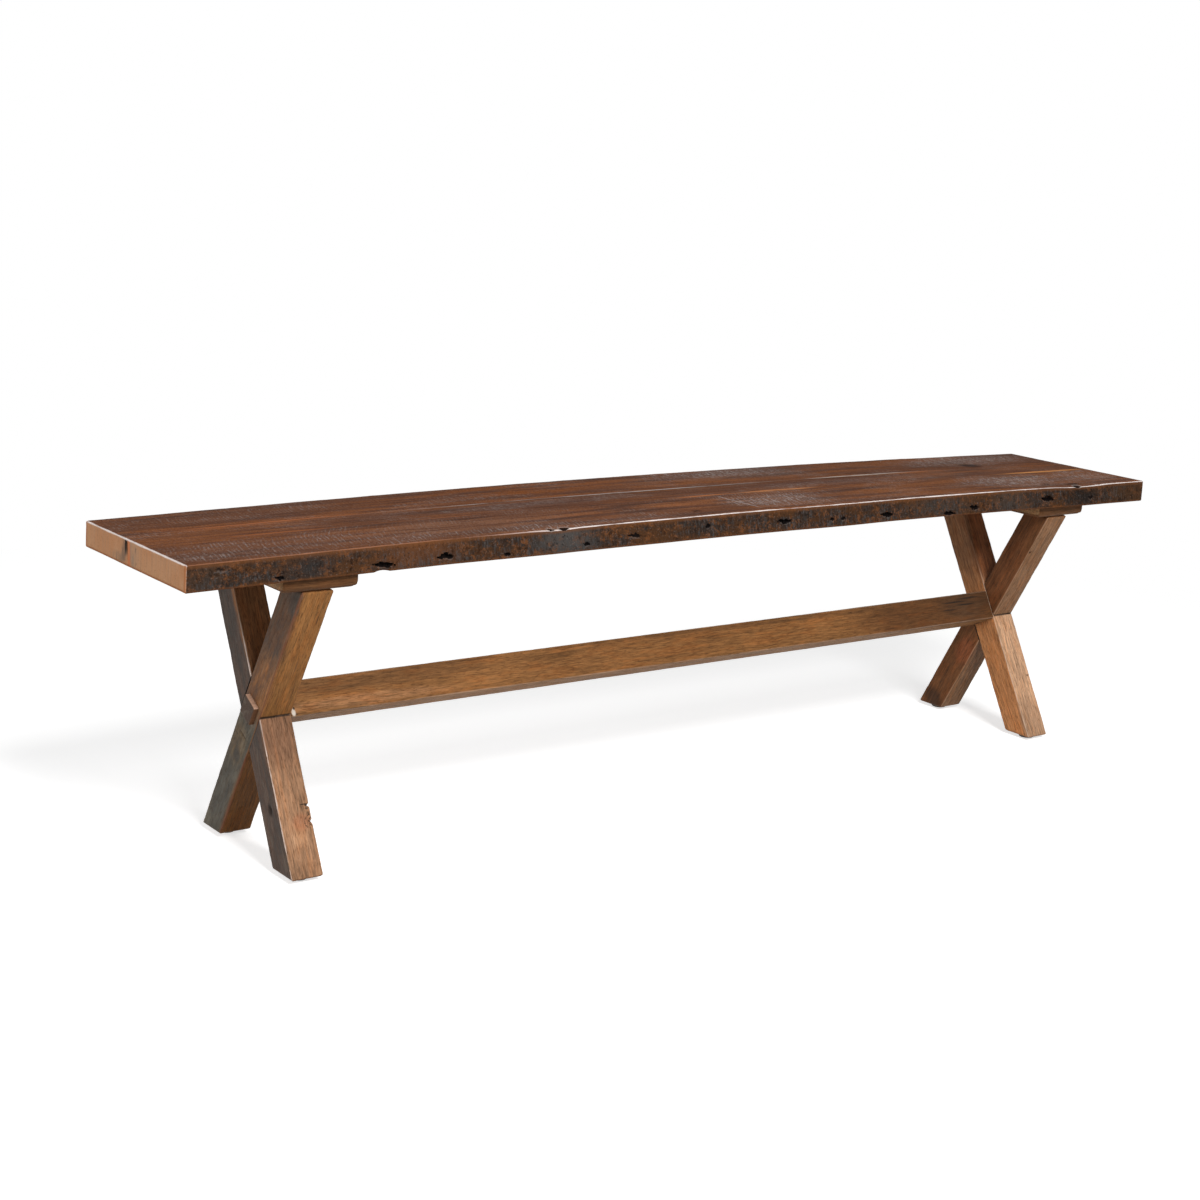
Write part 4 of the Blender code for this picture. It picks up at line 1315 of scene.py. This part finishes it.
# Tones of each leg: rest, left and front faces, and the worn line on its front left arris:
# colour, strength, width and the height where it starts to fade
LEG_TONES = {
    "left_inner_leg": {
        "rest": (0.2, 0.09, 0.038), "faces": ((0.082, 0.05, 0.036), (0.33, 0.178, 0.096), None),
        "weather": 0.8, "line": ((0.66, 0.53, 0.46), 0.9, 0.002, 0.06), "heart": (0.08, 0.06),
        "knot": (0.025, -0.1592, 0.017),
    },
    "left_outer_leg": {
        "rest": (0.24, 0.1, 0.035), "faces": ((0.098, 0.086, 0.064), (0.24, 0.106, 0.031), None),
        "weather": 0.7, "line": ((0.14, 0.05, 0.022), 0.85, 0.0032, 0.25), "heart": (-0.07, 0.09),
    },
    "right_inner_leg": {
        "rest": (0.3, 0.14, 0.06), "faces": ((0.54, 0.235, 0.092), (0.58, 0.345, 0.205), None),
        "line": ((0.62, 0.48, 0.38), 0.45, 0.002, 0.0), "heart": (0.06, 0.1),
    },
    "right_outer_leg": {
        "rest": (0.22, 0.1, 0.045), "faces": ((0.165, 0.066, 0.025), (0.24, 0.125, 0.062), None),
        "line": ((0.3, 0.15, 0.08), 0.4, 0.002, 0.25), "heart": (-0.09, -0.07),
    },
}


def leg_cutters(centre_x, side, kind, lean, kept):
    """Boxes that halve a leg and cut its square mortise, one after the other."""
    run = HALF_LEG / math.tan(LEAN) + CUT_OVERRUN
    deep, wide = -kept * (HALF_LEG + CUT_OVERRUN), HALF_LEG + FIT_GAP
    if kind == "outer":
        out, depth, peg = side, PLUG_SEAT + FIT_GAP, PLUG_SIDE / 2 + FIT_GAP
    else:
        out, depth, peg = -side, TENON_LENGTH + FIT_GAP, TENON_SIDE / 2 + FIT_GAP
    face = out * HALF_LEG
    cuts = (
        ("lap", kept * FIT_GAP / 2, deep, wide, run, lean, 0.0, CROSSING_Z),
        ("mortise", face - out * depth, face + out * CUT_OVERRUN, peg, peg, -lean,
         lean * AXIS_OFFSET_Y, AXIS_Z),
    )
    for name, first, last, half_y, half_z, turn, y, z in cuts:
        low, high = sorted((first, last))
        cutter = add_box(name, (low, -half_y, -half_z), (high, half_y, half_z))
        cutter.data.transform(placed((centre_x, y, z), turn * LEAN))
        yield cutter


def make_leg(look, side_name, kind):
    """One leaning leg, halved where the other crosses it."""
    side, lean = SIDES[side_name], LEGS[kind]
    kept = -side if kind == "inner" else side
    node = f"{side_name}_{kind}_leg"
    run = LEG_HEIGHT / math.cos(LEAN) / 2 + HALF_LEG * math.tan(LEAN) + CUT_OVERRUN
    half = (HALF_LEG, HALF_LEG, run)
    leg = grid_box(
        "worn_" + node, [-size for size in half], half, [(look.arris, look.arris)] * 3,
        ((11, 2), (11, 2), (14, 13)),
    )
    move_points(leg, post_place(half, 17.0 * side + 5.0 * lean, look.arris))
    centre = (side * TRESTLE_X, 0.0, CROSSING_Z)
    stand = placed(centre, -lean * LEAN)
    leg.data.transform(stand)
    only(leg)
    saw_end(LEG_TOP_Z, 1, look.foot)
    saw_end(LEG_FOOT_Z, -1, look.foot)
    ease_rims(leg, centre[0], lean, look.foot)
    knot_holes(leg, stand.inverted(), LEG_HOLES[node])
    for cutter in leg_cutters(centre[0], side, kind, lean, kept):
        combine(leg, cutter)
    oak = OakPiece(
        centre, half, lean=-lean * LEAN, crease_shade=(lean, kept), tints=LEG_TINTS[node],
        marks=LEG_MARKS[node], shift=side * 1.3 + lean * 0.6, **LEG_TONES[node],
    )
    stand_in(leg, node, oak_finish(look, oak, node + "_oak"))


class BENCH_OT_legs(bpy.types.Operator):
    """Make the four half-lapped legs"""

    bl_idname = "bench.make_legs"
    bl_label = "Legs"
    bl_options = {"REGISTER", "UNDO"}

    def execute(self, context):
        for side_name in SIDES:
            for kind in LEGS:
                make_leg(context.scene.bench_trestles, side_name, kind)
        return {"FINISHED"}


# Stains of the stretcher, then its knots and cracks
BEAM_TINTS = (
    ((-0.024, 0.0, 0.59), (0.01, 0.06, 0.32), (0.078, 0.031, 0.011), 0.85),
    ((-0.024, 0.016, -0.56), (0.01, 0.022, 0.26), (0.125, 0.056, 0.02), 0.65),
    ((-0.024, -0.014, -0.58), (0.01, 0.012, 0.18), (0.36, 0.175, 0.078), 0.6),
    ((-0.024, 0.02, 0.2), (0.008, 0.008, 0.5), (0.1, 0.045, 0.017), 0.45),
    ((-0.024, 0.012, 0.64), (0.01, 0.04, 0.09), (0.052, 0.028, 0.015), 0.65),
)
BEAM_MARKS = (
    ((-0.024, -0.0195, -0.6895), (0.006, 0.007, 0.004), (0.58, 0.52, 0.45), 0.9),
    ((-0.024, -0.014, -0.688), (0.006, 0.003, 0.002), BLACK, 0.85),
    ((-0.024, -0.0225, -0.685), (0.006, 0.0016, 0.0014), BLACK, 0.8),
    ((-0.024, 0.0059, 0.6357), (0.01, 0.002, 0.03), BLACK, 0.85),
    ((-0.024, 0.0115, 0.61), (0.01, 0.0018, 0.04), BLACK, 0.8),
    ((-0.024, -0.0008, 0.5931), (0.01, 0.0018, 0.024), BLACK, 0.75),
    ((-0.024, 0.0165, 0.645), (0.01, 0.002, 0.035), BLACK, 0.75),
    ((-0.024, -0.019, 0.4403), (0.006, 0.0012, 0.016), BLACK, 0.6),
    ((0.01, -0.025, 0.685), (0.012, 0.006, 0.006), BLACK, 0.8),
)


class BENCH_OT_stretcher(bpy.types.Operator):
    """Make the stretcher between the crossings"""

    bl_idname = "bench.make_stretcher"
    bl_label = "Stretcher"
    bl_options = {"REGISTER", "UNDO"}

    def execute(self, context):
        look = context.scene.bench_trestles
        deep, tall = HALF_LEG, STRETCHER_DEPTH / 2
        run = TRESTLE_X - HALF_LEG - FIT_GAP
        beam = grid_box(
            "worn_stretcher", (-run, -deep, -tall), (run, deep, tall),
            [(look.arris, look.arris)] * 3, ((21, 20), (20,), (20,)),
        )
        wear = post_place((deep, tall), 3.0, STRETCHER_ARRIS)

        def place(point):
            y, z, x = wear((point.y, point.z, point.x))
            return x, y, z

        move_points(beam, place)
        tip = run + TENON_LENGTH
        peg = TENON_SIDE / 2
        for side in SIDES.values():
            low, high = sorted((side * (run - CUT_OVERRUN), side * tip))
            tenon = add_box("tenon", (low, -peg, -peg), (high, peg, peg))
            combine(beam, tenon, "UNION", "EXACT")
        centre = (0.0, AXIS_OFFSET_Y, AXIS_Z)
        beam.data.transform(placed(centre, -LEAN))
        oak = OakPiece(
            centre, (tip, deep, tall), look.oak,
            (None, (0.222, 0.098, 0.032), (0.23, 0.115, 0.046)), level=True, lean=-LEAN,
            heart=(0.055, 0.1), tints=BEAM_TINTS, marks=BEAM_MARKS, shift=4.0,
        )
        stand_in(beam, "stretcher", oak_finish(look, oak, "stretcher_oak"))
        return {"FINISHED"}


def make_cleat(look, node, side):
    """One cleat with its lower edges rounded over, bent to the bow of the seat."""
    low, high = (Vector(corner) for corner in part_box(node))
    cleat = grid_box(
        "worn_" + node, low, (high.x, high.y, low.z + CLEAT_THICKNESS),
        ((CLEAT_CORNER,) * 2, (CLEAT_CORNER,) * 2, (CLEAT_ROUNDOVER, CLEAT_TOP_EASING)),
        ((6, 6), (8, 8), (12,)),
    )
    middle = side * TRESTLE_X
    rise = crown_at(middle + CLEAT_HALF_WIDTH) - crown_at(middle - CLEAT_HALF_WIDTH)
    slope = rise / (2 * CLEAT_HALF_WIDTH)

    def place(point):
        x, y, z = point
        in_x = min(x - low.x, high.x - x)
        in_y = min(y - low.y, high.y - y)
        in_x, up = ease_pair(in_x, z - low.z, CLEAT_ROUNDOVER)
        in_y, up = ease_pair(in_y, up, CLEAT_ROUNDOVER)
        in_x, in_y = ease_pair(in_x, in_y, CLEAT_CORNER)
        depth = 0.0003 * (1 + ripple(x * 50, y * 22, z * 50 + side))
        x = low.x + in_x + depth if x < middle else high.x - in_x - depth
        y = low.y + in_y + depth if y < 0 else high.y - in_y - depth
        lift = smooth_step(up, CLEAT_ROUNDOVER, CLEAT_THICKNESS)
        return x, y, low.z + up + lift * slope * (x - middle)

    move_points(cleat, place)
    half_z = CLEAT_THICKNESS / 2
    oak = OakPiece(
        (middle, 0.0, low.z + half_z), (CLEAT_HALF_WIDTH, CLEAT_HALF_LENGTH, half_z),
        (0.112, 0.048, 0.017), ((0.34, 0.19, 0.088), None, None), level=True,
        heart=(0.16, 0.02), shift=side * 2.0,
    )
    stand_in(cleat, node, oak_finish(look, oak, node + "_oak"))


class BENCH_OT_cleats(bpy.types.Operator):
    """Make the cleats under the seat"""

    bl_idname = "bench.make_cleats"
    bl_label = "Cleats"
    bl_options = {"REGISTER", "UNDO"}

    def execute(self, context):
        for side_name, side in SIDES.items():
            make_cleat(context.scene.bench_trestles, side_name + "_cleat", side)
        return {"FINISHED"}


def plug_finish(look, name, centre, side):
    """Dark end grain with rings and short cracks, lighter long grain on the sides."""
    material, paint, shader = new_finish(name)
    local = paint.place().mapped(Location=centre, Rotation=(LEAN, 0.0, 0.0))
    x, y, z = local.parts()
    wobble = local.cloud((1, 90, 90), 3)
    off_y, off_z = y - 0.022, z + 0.016
    rings = (off_y * off_y + off_z * off_z).root() + wobble * 0.002
    ring = ((rings / 0.0028) % 1.0).ease(0.25, 0.95)
    pores = local.cloud((1, 900, 900)).ease(0.54, 0.68)
    face = Coat(paint, look.plug)
    face.lay(ring * 0.5, look.dark)
    face.lay(pores * 0.5, BLACK)
    face.lay(wobble.ease(0.5, 0.7) * 0.4, look.weathered)
    coat = Coat(paint, (0.115, 0.052, 0.025))
    # The upper side is painted a much lighter tan than the other sides
    coat.lay(z.ease(0.013, 0.0146), (0.44, 0.265, 0.18))
    coat.colour = coat.colour.scaled(0.55 + local.cloud((18, 700, 700), 3) * 0.8)
    outer, half = HALF_LEG + PLUG_PROUD, PLUG_SIDE / 2
    on_face = (x * side).ease(outer - 0.0014, outer - 0.0003)
    coat.lay(on_face, face.colour)
    rim = (half - abs(y)).larger(half - abs(z))
    coat.lay(rim.ease(0.0018, 0.0004) * wobble.ease(0.35, 0.6) * on_face * 0.35, look.worn)
    paint.feed(shader, {
        "Base Color": coat.colour, "Roughness": 0.62 + pores * 0.15,
        "Normal": paint.bump(ring * 0.4 - pores, 0.0004, 0.6), "Specular IOR Level": 0.1,
    })
    return material


def make_plug(look, node, side):
    """One square plug, its rim eased and its face left rough."""
    half = PLUG_SIDE / 2
    outer = HALF_LEG + PLUG_PROUD
    plug = grid_box(
        "worn_" + node, (HALF_LEG - PLUG_SEAT, -half, -half), (outer, half, half),
        [(PLUG_EASING, PLUG_EASING)] * 3, ((12,), (20,), (20,)),
    )

    def place(point):
        x, y, z = point
        radius = PLUG_EASING * (1 + 0.5 * ripple(y * 130, z * 130, 4.0 * side))
        in_y, out = ease_pair(half - abs(y), outer - x, radius)
        in_z, out = ease_pair(half - abs(z), out, radius)
        in_y, in_z = ease_pair(in_y, in_z, radius)
        x = outer - out
        if out < 0.001:
            x -= 0.0003 * (1 + ripple(y * 160, z * 160, 9.0 * side))
        return side * x, math.copysign(half - in_y, y), math.copysign(half - in_z, z)

    move_points(plug, place)
    if side < 0:
        plug.data.flip_normals()
    centre = (side * TRESTLE_X, -AXIS_OFFSET_Y, AXIS_Z)
    plug.data.transform(placed(centre, LEAN))
    stand_in(plug, node, plug_finish(look, node + "_end_grain", centre, side))


class BENCH_OT_plugs(bpy.types.Operator):
    """Make the square plugs over the bolt heads"""

    bl_idname = "bench.make_plugs"
    bl_label = "Plugs"
    bl_options = {"REGISTER", "UNDO"}

    def execute(self, context):
        for side_name, side in SIDES.items():
            make_plug(context.scene.bench_trestles, side_name + "_plug", side)
        return {"FINISHED"}


# Fittings, kept as the frame has them


def zinc_finish(colour):
    """Zinc plate, lightly brushed, with faint spangle."""
    material, paint, shader = new_finish("zinc_plate")
    place = paint.place()
    spangle = place.cloud((420, 420, 420)).ease(0.4, 0.65)
    brush = place.cloud((90, 90, 2400))
    paint.feed(shader, {
        "Base Color": paint.mix(spangle * 0.35, colour, (0.36, 0.35, 0.33)), "Metallic": 1.0,
        "Roughness": 0.28 + brush.ease(0.35, 0.65) * 0.2,
        "Normal": paint.bump(brush, 0.0001, 0.3),
    })
    return material


def nylon_finish(colour):
    """Dark moulded nylon with a fine grain and scuffs."""
    material, paint, shader = new_finish("glide_nylon")
    place = paint.place()
    scuff = place.cloud((260, 90, 90), 3).ease(0.54, 0.7)
    paint.feed(shader, {
        "Base Color": paint.mix(scuff * 0.4, colour, (0.09, 0.07, 0.055)),
        "Roughness": 0.46 + scuff * 0.2,
        "Normal": paint.bump(place.cloud((1500, 1500, 1500)), 0.0001, 0.4),
    })
    return material


class BENCH_OT_fittings(bpy.types.Operator):
    """Finish the screws, bolts, washers, nails and glides"""

    bl_idname = "bench.finish_fittings"
    bl_label = "Fittings"
    bl_options = {"REGISTER", "UNDO"}

    def execute(self, context):
        look = context.scene.bench_fittings
        finishes = {"zinc_steel": zinc_finish(look.zinc), "glide_nylon": nylon_finish(look.nylon)}
        for part in frame["record"]["subparts"]:
            if part["material_slot"] in finishes:
                materials = frame["nodes"][part["node"]].data.materials
                materials.clear()
                materials.append(finishes[part["material_slot"]])
        return {"FINISHED"}


# Stage

WHITE = (1.0, 1.0, 1.0)

# Place and size of each light, and what they look at
LIGHTS = {"key": ((-0.64, -3.15, 2.95), 1.5), "fill": ((-4.4, 0.6, 1.3), 1.8)}
BENCH_MIDDLE = Vector((0.0, 0.0, 0.25))

# The floor: its size, its own light, and where it starts and ends fading to white
FLOOR_SIZE, FLOOR_GLOW = 60, 0.66
FLOOR_FADE = (0.9, 2.0)

# The camera, as fitted to the photo
CAMERA_PLACE = (-2.0158, -2.4093, 1.0011)
CAMERA_YAW = math.radians(37.39)
CAMERA_PITCH = math.radians(-8.497)
CAMERA_ROLL = math.radians(3.229)
CAMERA_LENS = 61.817
CAMERA_SENSOR = 36.0
CAMERA_SHIFT_Y = -0.13333


def camera_turn():
    """Directions of the camera's right, up and back as a matrix."""
    level = math.cos(CAMERA_PITCH)
    ahead = Vector((
        math.sin(CAMERA_YAW) * level, math.cos(CAMERA_YAW) * level, math.sin(CAMERA_PITCH),
    ))
    right = Vector((math.cos(CAMERA_YAW), -math.sin(CAMERA_YAW), 0.0))
    up = right.cross(ahead)
    rolled_right = right * math.cos(CAMERA_ROLL) + up * math.sin(CAMERA_ROLL)
    rolled_up = up * math.cos(CAMERA_ROLL) - right * math.sin(CAMERA_ROLL)
    return Matrix((rolled_right, rolled_up, -ahead)).transposed()


def add_area(name, place, size, power):
    """Square area light that looks at the middle of the bench."""
    lamp = bpy.data.lights.new(name, "AREA")
    lamp.size = size
    lamp.energy = power
    made = bpy.data.objects.new(name, lamp)
    bpy.context.scene.collection.objects.link(made)
    made.location = place
    aim = BENCH_MIDDLE - made.location
    made.rotation_euler = aim.to_track_quat("-Z", "Y").to_euler()


def seen_share(paint):
    """1 for what the camera sees directly, in a reflection or through glass."""
    path = paint.node("ShaderNodeLightPath", output="Is Camera Ray")
    return (path + path.output("Is Glossy Ray") + path.output("Is Transmission Ray")).smaller(1.0)


def floor_finish(look):
    """Pale floor that keeps the bench's shadow and fades to white further out."""
    material, paint, shader = new_finish("pale_floor")
    seen = seen_share(paint)
    far = paint.place().length().ease(*FLOOR_FADE)
    paint.feed(shader, {
        "Base Color": look.floor, "Roughness": 0.9, "Specular IOR Level": 0.0,
        "Emission Color": WHITE, "Emission Strength": 0.0,
    })
    near = Field(paint, shader.outputs[0])
    lift = paint.node("ShaderNodeEmission", sockets={
        "Color": WHITE, "Strength": seen * FLOOR_GLOW,
    })
    near = paint.node("ShaderNodeAddShader", sockets={0: near, 1: lift})
    white = paint.node("ShaderNodeEmission", sockets={"Color": WHITE, "Strength": 1.0})
    both = paint.node("ShaderNodeMixShader", sockets={0: far * seen, 1: near, 2: white})
    paint.feed(material.node_tree.nodes["Material Output"], {"Surface": both})
    return material


class BENCH_OT_stage(bpy.types.Operator):
    """Set up the floor, the lights and the camera"""

    bl_idname = "bench.make_stage"
    bl_label = "Stage"
    bl_options = {"REGISTER", "UNDO"}

    def execute(self, context):
        look = context.scene.bench_stage
        deselect_all()
        bpy.ops.mesh.primitive_grid_add(x_subdivisions=8, y_subdivisions=8, size=FLOOR_SIZE)
        floor = context.object
        floor.name = "studio_floor"
        floor.data.materials.append(floor_finish(look))
        for name, (place, size) in LIGHTS.items():
            add_area(name + "_light", place, size, getattr(look, name))
        world = bpy.data.worlds.new("studio")
        context.scene.world = world
        world.use_nodes = True
        paint = Paint(world.node_tree)
        strength = look.sky + seen_share(paint) * (1 - look.sky)
        paint.feed(world.node_tree.nodes["Background"], {"Color": WHITE, "Strength": strength})
        lens = bpy.data.cameras.new("photo_camera")
        lens.lens = CAMERA_LENS
        lens.sensor_width = CAMERA_SENSOR
        lens.sensor_fit = "HORIZONTAL"
        lens.shift_y = CAMERA_SHIFT_Y
        camera = bpy.data.objects.new("photo_camera", lens)
        context.scene.collection.objects.link(camera)
        camera.matrix_world = Matrix.Translation(CAMERA_PLACE) @ camera_turn().to_4x4()
        context.scene.camera = camera
        context.scene.view_settings.view_transform = "Standard"
        return {"FINISHED"}


class BENCH_PT_panel(bpy.types.Panel):
    """Steps and settings of the bench"""

    bl_label = "Rustic Bench"
    bl_idname = "BENCH_PT_panel"
    bl_space_type = "VIEW_3D"
    bl_region_type = "UI"
    bl_category = "Bench"

    def draw(self, context):
        layout = self.layout
        for step in OPERATORS:
            layout.operator(step.bl_idname)
        for name, group in SETTINGS.items():
            box = layout.box()
            box.label(text=group.__doc__)
            for key in group.__annotations__:
                box.prop(getattr(context.scene, name), key)


SETTINGS = {
    "bench_seat": SeatLook,
    "bench_trestles": TrestleLook,
    "bench_fittings": FittingLook,
    "bench_stage": StageLook,
}
OPERATORS = (
    BENCH_OT_seat, BENCH_OT_cleats, BENCH_OT_legs, BENCH_OT_stretcher, BENCH_OT_plugs,
    BENCH_OT_fittings, BENCH_OT_stage,
)


def register():
    """Register the settings, the steps and the panel."""
    for group in (*SETTINGS.values(), *OPERATORS, BENCH_PT_panel):
        bpy.utils.register_class(group)
    for name, group in SETTINGS.items():
        setattr(bpy.types.Scene, name, PointerProperty(type=group))


def unregister():
    """Take them away again."""
    for name in SETTINGS:
        delattr(bpy.types.Scene, name)
    for group in (BENCH_PT_panel, *reversed(OPERATORS), *reversed(SETTINGS.values())):
        bpy.utils.unregister_class(group)


def main():
    """Make the whole bench."""
    register()
    bpy.ops.bench.make_seat()
    bpy.ops.bench.make_cleats()
    bpy.ops.bench.make_legs()
    bpy.ops.bench.make_stretcher()
    bpy.ops.bench.make_plugs()
    bpy.ops.bench.finish_fittings()
    bpy.ops.bench.make_stage()


if __name__ == "__main__":
    main()
